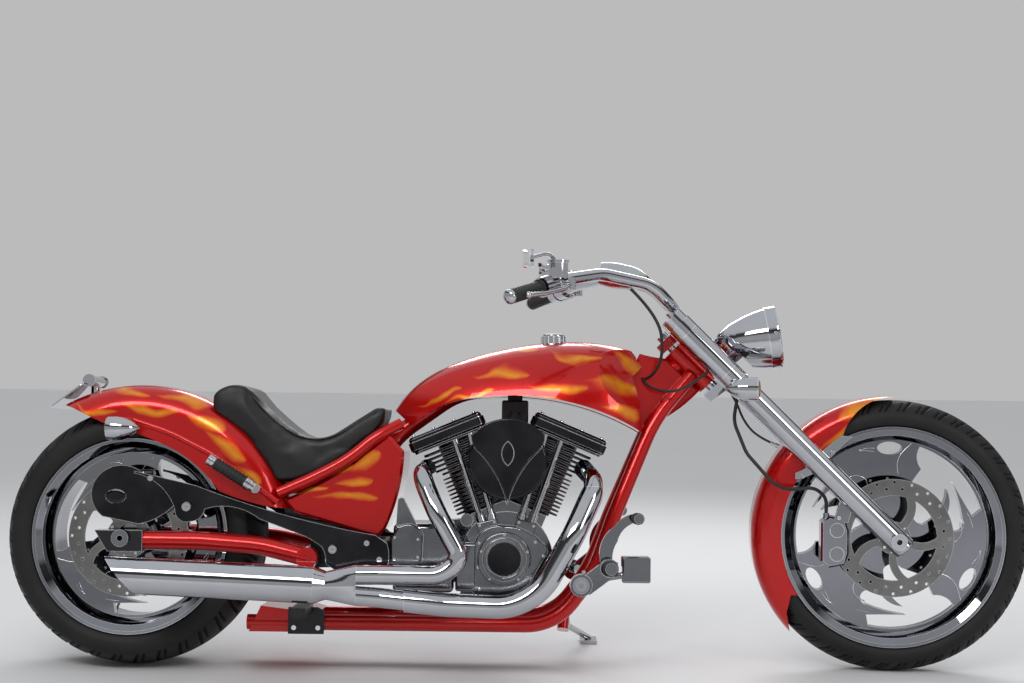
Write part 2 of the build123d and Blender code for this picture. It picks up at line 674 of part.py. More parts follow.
def fender_edge():
    """All that lies under the fender's lower edge, in the side view."""
    return slab(outline((-330, 702), (-191, 659), (-149, 647), (-72, 612), ((36, 578), (118, 542)),
                        ((178, 497), (225, 444)), ((296, 419), (404, 400)), (450, 380), (450, -200),
                        (-450, -200),
                        (-450, 702)), -200, 200)


def fender_outer():
    return fender_turned(0) - fender_edge()


def rear_fender_side():
    """What the right side of the rear fender takes up, for a piece that is bolted on it."""
    return slab(outline((0, 380), (420, 380), (420, 700), (0, 700)), -145 - GAP, 0)


def rear_fender():
    """The shell, with a rib along each side from the lamp down to the seat rail."""
    shell = fender_turned(0) - fender_turned(FENDER_WALL) - fender_edge()
    rib = pipe([(8, -136, 618), (100, -136, 588), (205, -136, 536), (300, -136, 470), (372, -136, 418)], 18)
    rib = rib - block((-50, 450), (-FENDER_HALF + 4, 0), (300, 700))
    shell = shell + rib + rib.mirror(Plane.XZ)
    for side in (seat_rail(), seat_rail().mirror(Plane.XZ)):
        shell = shell - side
    return shell


def plate_holder_place():
    """The middle of the plate holder: its x runs up the plate, its z out of its rear face."""
    return Plane(origin=(-177, 0, 682), x_dir=(78, 0, 60), z_dir=(-60, 0, 78))


def rear_lamps():
    """The plate holder with the tail lamp across its head, and a turn signal on each side of the fender."""
    plate = extrude(RectangleRounded(100, 190, 10), amount=-4)
    for side in (-1, 1):
        plate = plate - Pos(0, side * PLATE_BOLTS / 2, 0) * Cylinder(PLATE_HOLE / 2, 20)
    lamp = rod((-128, -62, 720), (-128, 62, 720), 27) + rod((-128, 0, 670), (-128, 0, 716), 22)
    for side in (-1, 1):
        lamp = lamp + rod((-128, side * 58, 720), (-128, side * 66, 720), 33)
    signals = both_sides(Pos(32, -176, 597) * signal(80, 30) + rod((0, -154, 597), (0, -145 - GAP, 597), 16))
    room = fender_turned(-GAP) - fender_edge()
    return [(plate_holder_place() * plate + lamp) - room] + [signal_lamp - room for signal_lamp in signals]


# Rear suspension
SWINGARM_CROSS = (455, 284)     # x and z of the cross tube that the arms end in


def swingarm():
    """The two arms, each with the block that holds the axle."""
    arm = pipe([(40, -SWINGARM_Y, 322), (190, -SWINGARM_Y, 322), (340, -SWINGARM_Y, 312),
                (SWINGARM_CROSS[0], -SWINGARM_Y, SWINGARM_CROSS[1])], SWINGARM_TUBE)
    arm = arm + rod((SWINGARM_CROSS[0], -SWINGARM_Y - 22, SWINGARM_CROSS[1]),
                    (SWINGARM_CROSS[0], -SWINGARM_Y + 24, SWINGARM_CROSS[1]), 52)
    axle_block = slab(outline((-66, 347), (52, 347), (52, 295), (-34, 295)), -SWINGARM_Y - 26,
                      -SWINGARM_Y + 24)
    bore = rod(REAR_AXLE + Vector(0, -250, 0), REAR_AXLE + Vector(0, -120, 0), 25.4)
    return both_sides(arm + axle_block - bore)


def swingarm_pivot():
    """The cross tube inside the belt's loop, its housing, and a boss for each strut plate."""
    x, z = SWINGARM_CROSS
    cross = rod((x, -SWINGARM_Y + 24 + GAP, z), (x, SWINGARM_Y - 24 - GAP, z), 52)
    housing = block((x, 640), (-120, 120), (258, 322), 8)
    whole = cross + housing
    for side in (-1, 1):
        whole = whole + rod((516, side * 110, 304), (516, side * (STRUT_Y[0] - GAP), 304), 24)
    return whole - backbone(BACKBONE + 2 * GAP)


def strut_plates():
    """The long dark plates beside the wheel, each with a round eye over its lower bolt."""
    face = outline((18, 492), (174, 457), ((400, 386), (621, 340)), (650, 320), ((655, 278), (640, 240)),
                   (560, 236),
                   ((528, 250), (498, 268)), ((496, 292), (487, 311)), (449, 334), (331, 377),
                   ((228, 406), (196, 399)), ((187, 380), (160, 368)), ((134, 372), (122, 396)),
                   ((104, 432), (18, 486)))
    return both_sides(slab(face, -STRUT_Y[1], -STRUT_Y[0]))


def rear_axle():
    """The hollow axle with its two end nuts."""
    length = SWINGARM_Y + 40
    axle = rod(REAR_AXLE + Vector(0, -length, 0), REAR_AXLE + Vector(0, length, 0), 25)
    for side in (-1, 1):
        axle = axle + rod(REAR_AXLE + Vector(0, side * (SWINGARM_Y + 26 + GAP), 0),
                          REAR_AXLE + Vector(0, side * length, 0), 42)
    return axle - rod(REAR_AXLE + Vector(0, -length - 1, 0), REAR_AXLE + Vector(0, length + 1, 0), AXLE_BORE)


def rear_caliper():
    """Over the top of the ring, on a plate inside the right strut."""
    low, high = REAR_AXLE.Z + 92, REAR_AXLE.Z + 165
    body = block((-40, 60), (-141.5, -106), (low, high), 6)
    slot = block((-60, 80), (-133, -117), (REAR_AXLE.Z + 60, REAR_AXLE.Z + 156))
    plate = slab(outline((30, 360), (-60, 378), ((-88, 420), (-80, 470)), ((-30, 504), (40, 484)),
                         (110, 462), (120, 410),
                         ((84, 380), (30, 360))), -STRUT_Y[0] + GAP, -141)
    hole = slab(Pos(-28, 428) * Ellipse(22, 14), -160, -141.5)
    return one(body - slot, plate) - hole


# Engine
# Of the barrel's and the head's fins: how many, the first one's height above the crank, pitch, thickness.
BARREL_FINS = (10, 146, 10.5, 4.5)
HEAD_FINS = (6, 254, 12, 6)


def cylinder(tilt):
    """A finned barrel and head about its own axis, cut off where the two meet in the V."""
    barrel = Pos(0, 0, 138) * Cylinder(BORE_OUTER / 2, 190, align=(Align.CENTER, Align.CENTER, Align.MIN))
    count, first, pitch, thick = BARREL_FINS
    for number in range(count):
        barrel = barrel + Pos(0, 0, first + pitch * number) * Cylinder(
            FIN_DIAMETER / 2, thick, align=(Align.CENTER, Align.CENTER, Align.MIN))
    side = 1 if tilt > 0 else -1
    count, first, pitch, thick = HEAD_FINS
    for number in range(count):
        reach = min(0, -26 + 13 * number)      # the lowest fins stand back
        face = Pos(side * (6 + reach / 2), 5) * RectangleRounded(188 + reach, 141 + reach / 2, 22)
        barrel = barrel + Pos(0, 0, first + pitch * number) * extrude(face, amount=thick)
    in_place = Pos(CRANK[0], 0, CRANK[1]) * Rot(Y=tilt) * barrel
    other_half = Pos(CRANK[0] - side * 249, 0, CRANK[1] + 200) * Box(500, 300, 500)
    return in_place - other_half


def rocker_box(tilt):
    """Base, a narrower middle and a lid with a bevelled edge."""
    outward = 22 if tilt > 0 else -22
    base = Pos(outward, -10, 328 + GAP) * extrude(RectangleRounded(190, 158, 18), amount=8)
    middle = Pos(outward, -13, 334) * extrude(RectangleRounded(204, 176, 20), amount=26)
    middle = chamfer(middle.edges().group_by(Axis.Z)[0], 5)
    lid = Pos(outward, -12, 360) * extrude(RectangleRounded(196, 166, 16), amount=13)
    lid = chamfer(lid.edges().group_by(Axis.Z)[-1], 5)
    return Pos(CRANK[0], 0, CRANK[1]) * Rot(Y=tilt) * one(base, middle, lid)


def both_cylinders(make):
    """What the front and the rear cylinder each have."""
    return [make(V_TILT), make(-V_TILT)]


def crankcase():
    round_case = slab(Pos(*CRANK) * Circle(118), -62, 62)
    floor = block((830, 1050), (-62, 62), (185, 260))
    case = round_case + floor
    for tilt in (-V_TILT, V_TILT):
        deck = Pos(CRANK[0], 0, CRANK[1]) * Rot(Y=tilt) * Pos(0, 0, 69) * Box(104, 120, 137.4)
        case = case + deck
    gear_case = slab(outline((866, 322), ((892, 356), (941, 364)), ((990, 356), (1036, 322)),
                             ((1050, 306), (1042, 288)),
                             (1000, 212), ((992, 196), (968, 190)), (880, 190), ((866, 194), (866, 210))),
                             -140, -60)
    gear_case = fillet(gear_case.edges().group_by(Axis.Y)[0], 4)
    case = case + gear_case
    for x, tilt in zip(LIFTER_X, (-LIFTER_TILT, LIFTER_TILT)):
        lifter = block((-26, 26), (-124, -84), (-30, 30), 4)
        case = case + Pos(x, 0, 348) * Rot(Y=tilt) * lifter
    case = case + rod((846, -124, 378), (846, -50, 378), 32)
    case = case + block((818, 872), (-98, -40), (198, 318), 6)
    return case


LIFTER_X = (902, 990)
LIFTER_TILT = 14


def cam_cover():
    """A bare disc in a raised round bezel."""
    disc = slab(Pos(941, 284) * Circle(67), -160, -140 - GAP)
    disc = fillet(disc.edges().group_by(Axis.Y)[0], 5)
    bezel = slab(Pos(941, 284) * (Circle(54) - Circle(44)), -166, -156)
    return disc + fillet(bezel.edges().group_by(Axis.Y)[0], 3)


def pushrod_tubes():
    """Two tubes to each head, from the lifter blocks up to the rocker boxes, each with its collar."""
    tubes = []
    for foot_x, tilt, lean_back in zip(LIFTER_X, (-V_TILT, V_TILT), (-LIFTER_TILT, LIFTER_TILT)):
        head = Plane(origin=(CRANK[0], 0, CRANK[1]), x_dir=(cos(radians(tilt)), 0, -sin(radians(tilt))),
                     z_dir=(sin(radians(tilt)), 0, cos(radians(tilt))))
        inward = -1 if tilt > 0 else 1
        below = Pos(foot_x, 0, 348) * Rot(Y=lean_back) * block((-80, 80), (-150, -60), (-90, 30 + GAP))
        for shift in (-14, 14):
            foot = Vector(foot_x + shift, -104, 360)
            top = head.from_local_coords(Vector(inward * 12 + shift * 1.5, -86, 334))
            way = (top - foot).normalized()
            tube = rod(foot, top, PUSHROD - 3) + rod(foot, foot + way * 34, PUSHROD + 3)
            tube = tube + rod(foot + way * 110, foot + way * 122, PUSHROD + 2)
            tubes.append(tube - head * (Pos(0, 0, 378) * Box(300, 300, 100)) - below)
    return tubes


def air_cleaner():
    """A round cover with a bare shield on it, whose two limbs run down to one tip, on a throat into the V."""
    disc = slab(Pos(947, 527) * Circle(97), -200, -160)
    disc = fillet(disc.edges().group_by(Axis.Y)[0], 8)
    shield = slab(outline((857, 592), ((947, 632), (1037, 592)), ((1034, 570), (1018, 548)),
                          ((984, 506), (947, 420)),
                          ((910, 506), (876, 548)), ((860, 570), (857, 592))), -212, -188)
    shield = fillet(shield.edges().group_by(Axis.Y)[0], 4)
    drop = slab(outline((947, 576), ((962, 548), (947, 516)), ((932, 548), (947, 576))), -220, -204)
    throat = slab(Pos(CRANK[0], 577) * Circle(22), -160, -20)
    return one(disc, shield, drop, throat)


def top_mount():
    """The coil and its bracket, under the backbone above the V."""
    coil = block((930, 998), (-60, 30), (622, 682), 6)
    return coil + block((945, 983), (-14, 14), (660, 712)) - backbone(BACKBONE + 2 * GAP)


def transmission():
    """The gearbox, with a bevelled cover on its right side and a fin-shaped guard on top."""
    case = block((662, 815), (-128, 90), (196, 368), 14)
    cover = slab(outline((658, 272), ((690, 262), (735, 276)), (738, 340), ((712, 366), (676, 360)),
                         (658, 330)),
                 -150, -120)
    cover = fillet(cover.edges().group_by(Axis.Y)[0], 5)
    guard = slab(outline((668, 350), (672, 424), ((680, 432), (690, 424)), (728, 352)), -124, -104)
    return one(case, cover, guard)


def front_pulley():
    """The small belt pulley and its shaft, out of the transmission."""
    x, z, radius = FRONT_PULLEY
    return rod((x, BELT_Y[0] - 1, z), (x, BELT_Y[1] + 3, z), 2 * radius)


def primary_cover():
    ends = (((940, 284), 100), ((768, 290), 74))
    hull = make_hull([edge for spot, radius in ends for edge in (Pos(*spot) * Circle(radius)).edges()])
    cover = slab(hull, 96, 172)
    return fillet(cover.edges().group_by(Axis.Y)[-1], 12)


def belt_loop(extra, y_low, y_high):
    """The belt's outline round its two pulleys, this much outside them."""
    x, z, radius = FRONT_PULLEY
    ends = (((REAR_AXLE.X, REAR_AXLE.Z), 100 + extra), ((x, z), radius + extra))
    return slab(make_hull([edge for spot, size in ends for edge in (Pos(*spot) * Circle(size)).edges()]),
                y_low, y_high)


def drive_belt():
    return belt_loop(6, *BELT_Y) - belt_loop(1, BELT_Y[0] - 1, BELT_Y[1] + 1)


# Exhaust
def muffler():
    """The can, its slash-cut mouth and the collector, with a bore in from each header."""
    tail, front = Vector(-40, MUFFLER_Y, 247), Vector(486, MUFFLER_Y, 226)
    can = rod(tail, front, MUFFLER)
    room = rod(tail - Vector(10, 0, 0), front, MUFFLER - 2 * CAN_WALL)
    room = room + rod(tail + (front - tail) * 0.95, Vector(512, MUFFLER_Y + 4, 225), 58)
    for pipe_z, inner_z in ((249, 235), (199, 215)):
        inner = Vector(500, MUFFLER_Y + 3, inner_z)
        room = room + rod((COLLECTOR_X + 1, -253, pipe_z), inner, HEADER - 2 * PIPE_WALL - 8)
    slash = slab(outline((-60, 330), (-27, 330), (-26, 300), (70, 190), (70, 160), (-60, 160)), -400, -200)
    shoulder = Plane(origin=(514, MUFFLER_Y + 4, 225), z_dir=(1, 0, 0))
    mouth_end = Plane(origin=(COLLECTOR_X, -252, 224), x_dir=(0, 0, 1), z_dir=(1, 0, 0))
    cone = loft([Plane(origin=front, z_dir=front - tail) * Circle(MUFFLER / 2), shoulder * Circle(34)])
    collector = loft([shoulder * Circle(34), mouth_end * SlotOverall(100, 52)])
    return one(can, cone, collector) - room - slash


def headers():
    """A pipe down from each head and back to the collector, the front one in its heat shield."""
    end = COLLECTOR_X - 12
    beyond = block((end - 40, COLLECTOR_X + GAP), (-320, -200), (150, 300))
    rear_points = [(742, -96, 505), (733, -190, 490), (775, -236, 400), (838, -240, 290), (790, -240, 248),
                   (640, -246, 249), (end, -253, 249)]
    front_points = [(1138, -96, 510), (1168, -190, 474), (1110, -236, 350), (1010, -240, 172),
                    (800, -240, 178),
                    (640, -246, 194), (end, -253, 199)]
    rear = pipe(rear_points, HEADER, 160) - pipe(rear_points, HEADER - 2 * PIPE_WALL, 160)
    shield = pipe(front_points, HEADER + 9, 160) & block((700, 1300), (-300, -206), (100, 468))
    front = pipe(front_points, HEADER, 160) + shield - pipe(front_points, HEADER - 2 * PIPE_WALL, 160)
    return [rear - beyond, front - beyond]


# Foot controls
def foot_control(side):
    """A forward peg on its arm from the downtube, with its curved pedal and the linkage's round cap."""
    arm = rod((1150, -100, 234), (1130, -250, 232), 30)
    cap = rod((1128, -236, 230), (1128, -262, 230), 54)
    plate = slab(outline((1112, 214), (1150, 208), (1206, 250), (1218, 286), (1186, 292), (1140, 256)),
                 -256, -240)
    peg = rod((1196, -250, 272), (1196, -340, 276), 30)
    collar = rod((1196, -252, 272), (1196, -266, 273), 44)
    pedal = slab(outline((1180, 270), ((1176, 330), (1208, 372)), ((1234, 396), (1262, 404)), (1268, 384),
                         ((1232, 366), (1216, 336)), ((1204, 300), (1212, 262))), -246, -234)
    pad = rod((1262, -232, 392), (1262, -318, 394), 24)
    whole = one(arm, cap, plate, peg, collar, pedal, pad) - right_frame_tube()
    if side > 0:
        return whole.mirror(Plane.XZ)
    reservoir = block((1227, 1296), (-258, -208), (237, 300), 5)
    return one(whole, reservoir, rod((1180, -240, 246), (1240, -236, 256), 16))


def passenger_pegs():
    """On each side a clevis, and the folded peg between its two collars."""
    foot, tip = Vector(318, -172, 454), Vector(205, -178, 524)
    way = (tip - foot).normalized()
    peg = rod(foot, tip, 26) + rod(foot + way * 10, foot + way * 24, 31) + rod(tip - way * 14, tip, 31)
    clevis = rod((322, -146, 453), (322, -180, 453), 24)
    return both_sides(one(peg, clevis) - rear_fender_side())


# Cables and hoses
def brake_hoses():
    """From under the lower clamp down to the caliper."""
    return pipe([(1540, -52, 712), (1528, -62, 640), (1560, -84, 560), (1640, -128, 470), (1730, -106, 478),
                 (1763, -78, FRONT_AXLE.Z + 100), (1763, -78, FRONT_AXLE.Z + 62.3)], 9, 80)


def control_cables():
    """From the turned bar's middle down to the frame behind the neck."""
    top = [tuple(turn_vector(Vector(*point), STEM)) for point in ((1262, -122, 975), (1335, -112, 905))]
    return pipe(top + [(1340, -96, 800), (1318, -56, 748), (1300, -24, 742)], 8, 60) - frame_neck_room()


# Where each node belongs
def frame_tubes():
    """The right and left tubes, the left one with the stand's lug."""
    neck = frame_neck()
    tube = right_frame_tube()
    return [tube - neck, (tube.mirror(Plane.XZ) - neck) + stand_mount()]


def root_nodes():
    return {
        "frame_neck": frame_neck(),
        "frame_tubes": frame_tubes(),
        "seat_rails": seat_rails(),
        "lower_fairing": lower_fairing(),
        "exhaust_bracket": exhaust_bracket(),
        "fuel_tank": fuel_tank(),
        "fuel_cap": fuel_cap(),
        "seat": seat(),
        "oil_tank": oil_tank(),
        "rear_fender": rear_fender(),
        "rear_lamps": rear_lamps(),
        "swingarm": swingarm(),
        "swingarm_pivot": swingarm_pivot(),
        "strut_plates": strut_plates(),
        "rear_axle": rear_axle(),
        "rear_caliper": rear_caliper(),
        "crankcase": crankcase(),
        "cam_cover": cam_cover(),
        "cylinders": both_cylinders(cylinder),
        "rocker_boxes": both_cylinders(rocker_box),
        "pushrod_tubes": pushrod_tubes(),
        "air_cleaner": air_cleaner(),
        "top_mount": top_mount(),
        "transmission": [transmission(), front_pulley()],
        "primary_cover": primary_cover(),
        "drive_belt": drive_belt(),
        "muffler": muffler(),
        "headers": headers(),
        "foot_controls": [foot_control(-1), foot_control(1)],
        "passenger_pegs": passenger_pegs(),
    }


def fork_nodes():
    return {
        "fork_legs": fork_legs(),
        "fork_clamps": fork_clamps(),
        "handlebar": handlebar(),
        "grips": grips(),
        "hand_controls": hand_controls(),
        "front_lamps": [headlight()] + front_signals(),
        "headlight_lens": headlight_lens(),
        "front_fender": front_fender(),
        "front_axle": front_axle(),
        "front_caliper": front_caliper(),
        "brake_hoses": brake_hoses(),
    }


def solids_of(shape):
    """The separate solids of a node, given as one shape or as a list."""
    shapes = shape if isinstance(shape, list) else [shape]
    return [solid for item in shapes for solid in item.solids()]


def leaning(shape):
    return Rot(X=-LEAN) * shape


def all_nodes():
    """Every node as it stands: turned at the fork, leaning, and over the origin."""
    turning = {**fork_nodes(), **front_wheel_nodes()}
    fixed = {**root_nodes(), **rear_wheel_nodes(), "side_stand": side_stand()}
    placed = {}
    for name, shape in fixed.items():
        placed[name] = leaning(Compound(solids_of(shape)))
    for name, shape in turning.items():
        placed[name] = leaning(Compound(solids_of(shape)).rotate(STEM, -STEER_REST))
    placed["control_cables"] = leaning(Compound(solids_of(control_cables())))
    boxes = [shape.bounding_box() for shape in placed.values()]
    low = [min(getattr(box.min, axis) for box in boxes) for axis in "XYZ"]
    high = [max(getattr(box.max, axis) for box in boxes) for axis in "XYZ"]
    origin = Vector((low[0] + high[0]) / 2, (low[1] + high[1]) / 2, low[2])
    return {name: Pos(*(-origin)) * shape for name, shape in placed.items()}, origin


def tell(name, point, direction, origin, turning=False):
    """Print a point and a direction in the finished frame."""
    tip = point + direction
    if turning:
        point, tip = turn_vector(point, STEM), turn_vector(tip, STEM)
    place, end = lean(point) - origin, lean(tip) - origin
    way = (end - place).normalized()
    print(f"{name}: point {place.X:.3f} {place.Y:.3f} {place.Z:.3f}"
          f" direction {way.X:.6f} {way.Y:.6f} {way.Z:.6f}")


def main():
    os.makedirs("parts", exist_ok=True)
    nodes, origin = all_nodes()
    for name, shape in nodes.items():
        solids = shape.solids()
        export_step(solids[0] if len(solids) == 1 else Compound(solids), f"parts/{name}.step")
    pivot, ankle, _, folded, axis = side_stand_geometry()
    tell("steering", STEM.position, STEM.direction, origin)
    tell("front_wheel_spin", FRONT_AXLE, Vector(0, 1, 0), origin, turning=True)
    tell("rear_wheel_spin", REAR_AXLE, Vector(0, 1, 0), origin)
    tell("side_stand_fold", pivot, axis, origin)
    fold = (ankle - pivot).get_angle(folded)
    holder = plate_holder_place()
    tell("plate_holes", holder.origin, holder.z_dir, origin)
    print(f"stand folds by {fold:.1f} degrees")
    print(f"front axle height {FRONT_AXLE.Z:.2f}, origin {origin}")


main()
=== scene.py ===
import json
from math import atan2, cos, pi, radians, sin, sqrt

import bmesh
import bpy
from mathutils import Matrix, Vector
from mathutils.bvhtree import BVHTree


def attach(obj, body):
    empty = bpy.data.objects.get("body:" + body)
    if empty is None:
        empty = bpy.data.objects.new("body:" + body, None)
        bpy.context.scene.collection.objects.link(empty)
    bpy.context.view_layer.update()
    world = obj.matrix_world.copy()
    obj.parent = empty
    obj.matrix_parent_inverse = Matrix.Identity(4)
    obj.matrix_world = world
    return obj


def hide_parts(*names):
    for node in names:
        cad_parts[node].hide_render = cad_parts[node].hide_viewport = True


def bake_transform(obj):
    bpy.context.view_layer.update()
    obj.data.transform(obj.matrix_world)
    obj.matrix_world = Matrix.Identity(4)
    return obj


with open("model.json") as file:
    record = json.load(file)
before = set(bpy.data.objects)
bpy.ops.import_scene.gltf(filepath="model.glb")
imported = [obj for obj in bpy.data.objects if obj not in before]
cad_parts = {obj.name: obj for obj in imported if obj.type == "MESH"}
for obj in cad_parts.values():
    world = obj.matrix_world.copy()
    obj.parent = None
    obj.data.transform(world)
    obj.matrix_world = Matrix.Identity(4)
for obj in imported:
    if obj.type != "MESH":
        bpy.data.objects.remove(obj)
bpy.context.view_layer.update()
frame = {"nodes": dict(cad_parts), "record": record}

record = frame["record"]
nodes = frame["nodes"]


# The bike's own frame
# Pieces are drawn upright in metres, x from the rear axle, y to the left and z from the floor, as in the CAD
# source, and then turned with the fork, leaned and shifted as the frame is.
WHEELBASE = 1.935
LEAN = radians(4.0)
STEER_REST = radians(6.0)
RAKE = radians(45.7)
STEM_OFFSET = 0.050
REAR_TYRE_RADIUS = 0.328
FRONT_AXLE_Z = 0.34811


def joint_named(name):
    return next(joint for joint in record["behaviour"]["joints"] if joint["name"] == name)


def lean_matrix():
    """Upright frame to row frame, by the rear axle's place in the record."""
    turn = Matrix.Rotation(-LEAN, 4, "X")
    axle = Vector(joint_named("rear_wheel_spin")["pos_m"])
    shift = axle - turn @ Vector((0, 0, REAR_TYRE_RADIUS))
    return Matrix.Translation(shift) @ turn


UPRIGHT = lean_matrix()
FORK_UP = Vector((-sin(RAKE), 0, cos(RAKE)))
FORK_ACROSS = Vector((cos(RAKE), 0, sin(RAKE)))
FRONT_AXLE = Vector((WHEELBASE, 0, FRONT_AXLE_Z))
REAR_AXLE = Vector((0, 0, REAR_TYRE_RADIUS))
STEM_POINT = FRONT_AXLE - FORK_ACROSS * STEM_OFFSET
TURNED = (UPRIGHT @ Matrix.Translation(STEM_POINT) @ Matrix.Rotation(-STEER_REST, 4, FORK_UP)
          @ Matrix.Translation(-STEM_POINT))


# Materials
def new_material(name):
    material = bpy.data.materials.new(name)
    material.use_nodes = True
    tree = material.node_tree
    return material, tree, tree.nodes["Principled BSDF"]


def position(tree, scale=(1, 1, 1), move=(0, 0, 0), turn=(0, 0, 0)):
    """Object coordinates, which are the row frame's own metres, scaled and moved."""
    coord = tree.nodes.new("ShaderNodeTexCoord")
    mapping = tree.nodes.new("ShaderNodeMapping")
    mapping.inputs["Scale"].default_value = scale
    mapping.inputs["Location"].default_value = move
    mapping.inputs["Rotation"].default_value = turn
    tree.links.new(coord.outputs["Object"], mapping.inputs["Vector"])
    return mapping.outputs["Vector"]


def noise_of(tree, vector, scale, detail=3.0, rough=0.5):
    node = tree.nodes.new("ShaderNodeTexNoise")
    node.inputs["Scale"].default_value = scale
    node.inputs["Detail"].default_value = detail
    node.inputs["Roughness"].default_value = rough
    tree.links.new(vector, node.inputs["Vector"])
    return node.outputs["Fac"]


def ramp_of(tree, factor, *stops):
    """A colour ramp of (place, colour or grey) stops."""
    node = tree.nodes.new("ShaderNodeValToRGB")
    ramp = node.color_ramp
    while len(ramp.elements) < len(stops):
        ramp.elements.new(0.5)
    for element, (place, colour) in zip(ramp.elements, stops):
        element.position = place
        element.color = (*colour, 1) if isinstance(colour, tuple) else (colour, colour, colour, 1)
    tree.links.new(factor, node.inputs["Fac"])
    return node.outputs["Color"]


def math_of(tree, operation, *values):
    """One Math node, whose values are numbers or sockets."""
    node = tree.nodes.new("ShaderNodeMath")
    node.operation = operation
    for socket, value in zip(node.inputs, values):
        if isinstance(value, (int, float)):
            socket.default_value = value
        else:
            tree.links.new(value, socket)
    return node.outputs[0]


def vector_of(tree, operation, vector, other):
    """One Vector Math node with a vector socket and a constant or a socket."""
    node = tree.nodes.new("ShaderNodeVectorMath")
    node.operation = operation
    tree.links.new(vector, node.inputs[0])
    if isinstance(other, tuple):
        node.inputs[1].default_value = other
    else:
        tree.links.new(other, node.inputs[1])
    return node.outputs["Value" if operation == "DOT_PRODUCT" else "Vector"]


def mixed(tree, factor, first, second):
    node = tree.nodes.new("ShaderNodeMix")
    node.data_type = "RGBA"
    tree.links.new(factor, node.inputs["Factor"])
    for name, value in (("A", first), ("B", second)):
        socket = next(s for s in node.inputs if s.name == name and s.type == "RGBA")
        if isinstance(value, tuple):
            socket.default_value = (*value, 1)
        else:
            tree.links.new(value, socket)
    return next(s for s in node.outputs if s.type == "RGBA")


def bump_of(tree, shader, height, strength, distance):
    node = tree.nodes.new("ShaderNodeBump")
    node.inputs["Strength"].default_value = strength
    node.inputs["Distance"].default_value = distance
    tree.links.new(height, node.inputs["Height"])
    tree.links.new(node.outputs["Normal"], shader.inputs["Normal"])
    return node


# how far painted edge highlights reach, and the painted highlight colour on dark plates' edges
HIGHLIGHT_REACH = 0.0028
PLATE_EDGE_HIGHLIGHT = (0.86, 0.87, 0.90)


def edge_highlight_mask(tree, radius, start=0.985, full=0.90):
    """Where edge highlights are painted: 1 within this distance of a sharp edge, and 0 on flat or gently
    curved faces.
    """
    bevel = tree.nodes.new("ShaderNodeBevel")
    bevel.samples = 4
    bevel.inputs["Radius"].default_value = radius
    geometry = tree.nodes.new("ShaderNodeNewGeometry")
    alike = vector_of(tree, "DOT_PRODUCT", bevel.outputs["Normal"], geometry.outputs["Normal"])
    return ramp_of(tree, alike, (full, 1.0), (start, 0.0))


def chrome_material(name="chrome", colour=(0.50, 0.51, 0.54), smudge=(0.02, 0.06)):
    material, tree, shader = new_material(name)
    shader.inputs["Metallic"].default_value = 1.0
    tint = ramp_of(tree, noise_of(tree, position(tree), 14, 4), (0.30, tuple(0.92 * c for c in colour)),
                   (0.70, colour))
    # painted highlight: the chrome's colour turns near white along sharp edges
    bright = mixed(tree, edge_highlight_mask(tree, 0.0022), tint, (0.92, 0.93, 0.95))
    tree.links.new(bright, shader.inputs["Base Color"])
    rough = ramp_of(tree, noise_of(tree, position(tree), 40, 5), (0.35, smudge[0]), (0.75, smudge[1]))
    tree.links.new(rough, shader.inputs["Roughness"])
    return material


# The flames
# head x, head z, tail x, tail z and width of each lick, in metres of the row frame
LICKS = (
    (0.335, 0.700, 0.160, 0.742, 0.046), (0.300, 0.640, 0.205, 0.690, 0.034),
    (0.330, 0.770, 0.215, 0.806, 0.034), (0.180, 0.722, 0.010, 0.728, 0.034),
    (0.200, 0.780, 0.070, 0.812, 0.026), (0.110, 0.690, -0.030, 0.700, 0.020),
    (0.030, 0.762, -0.130, 0.752, 0.030), (0.050, 0.812, -0.060, 0.806, 0.018),
    (-0.060, 0.715, -0.205, 0.682, 0.022), (-0.150, 0.720, -0.270, 0.668, 0.018),
    (-0.350, 0.545, -0.440, 0.505, 0.040), (-0.365, 0.490, -0.470, 0.470, 0.030),
    (-0.345, 0.440, -0.520, 0.432, 0.030), (-0.420, 0.520, -0.520, 0.486, 0.022),
    (-0.480, 0.460, -0.560, 0.444, 0.018), (-0.740, 0.585, -0.860, 0.640, 0.046),
    (-0.700, 0.520, -0.800, 0.590, 0.034), (-0.790, 0.655, -0.930, 0.690, 0.034),
    (-0.870, 0.632, -1.010, 0.660, 0.028), (-0.930, 0.680, -1.070, 0.700, 0.024),
    (-1.010, 0.640, -1.130, 0.668, 0.020), (-0.640, 0.450, -0.730, 0.520, 0.026),
    (0.905, 0.700, 0.800, 0.640, 0.050), (0.860, 0.640, 0.745, 0.560, 0.034),
    (0.960, 0.712, 0.860, 0.700, 0.026), (0.745, 0.530, 0.690, 0.440, 0.026),
)


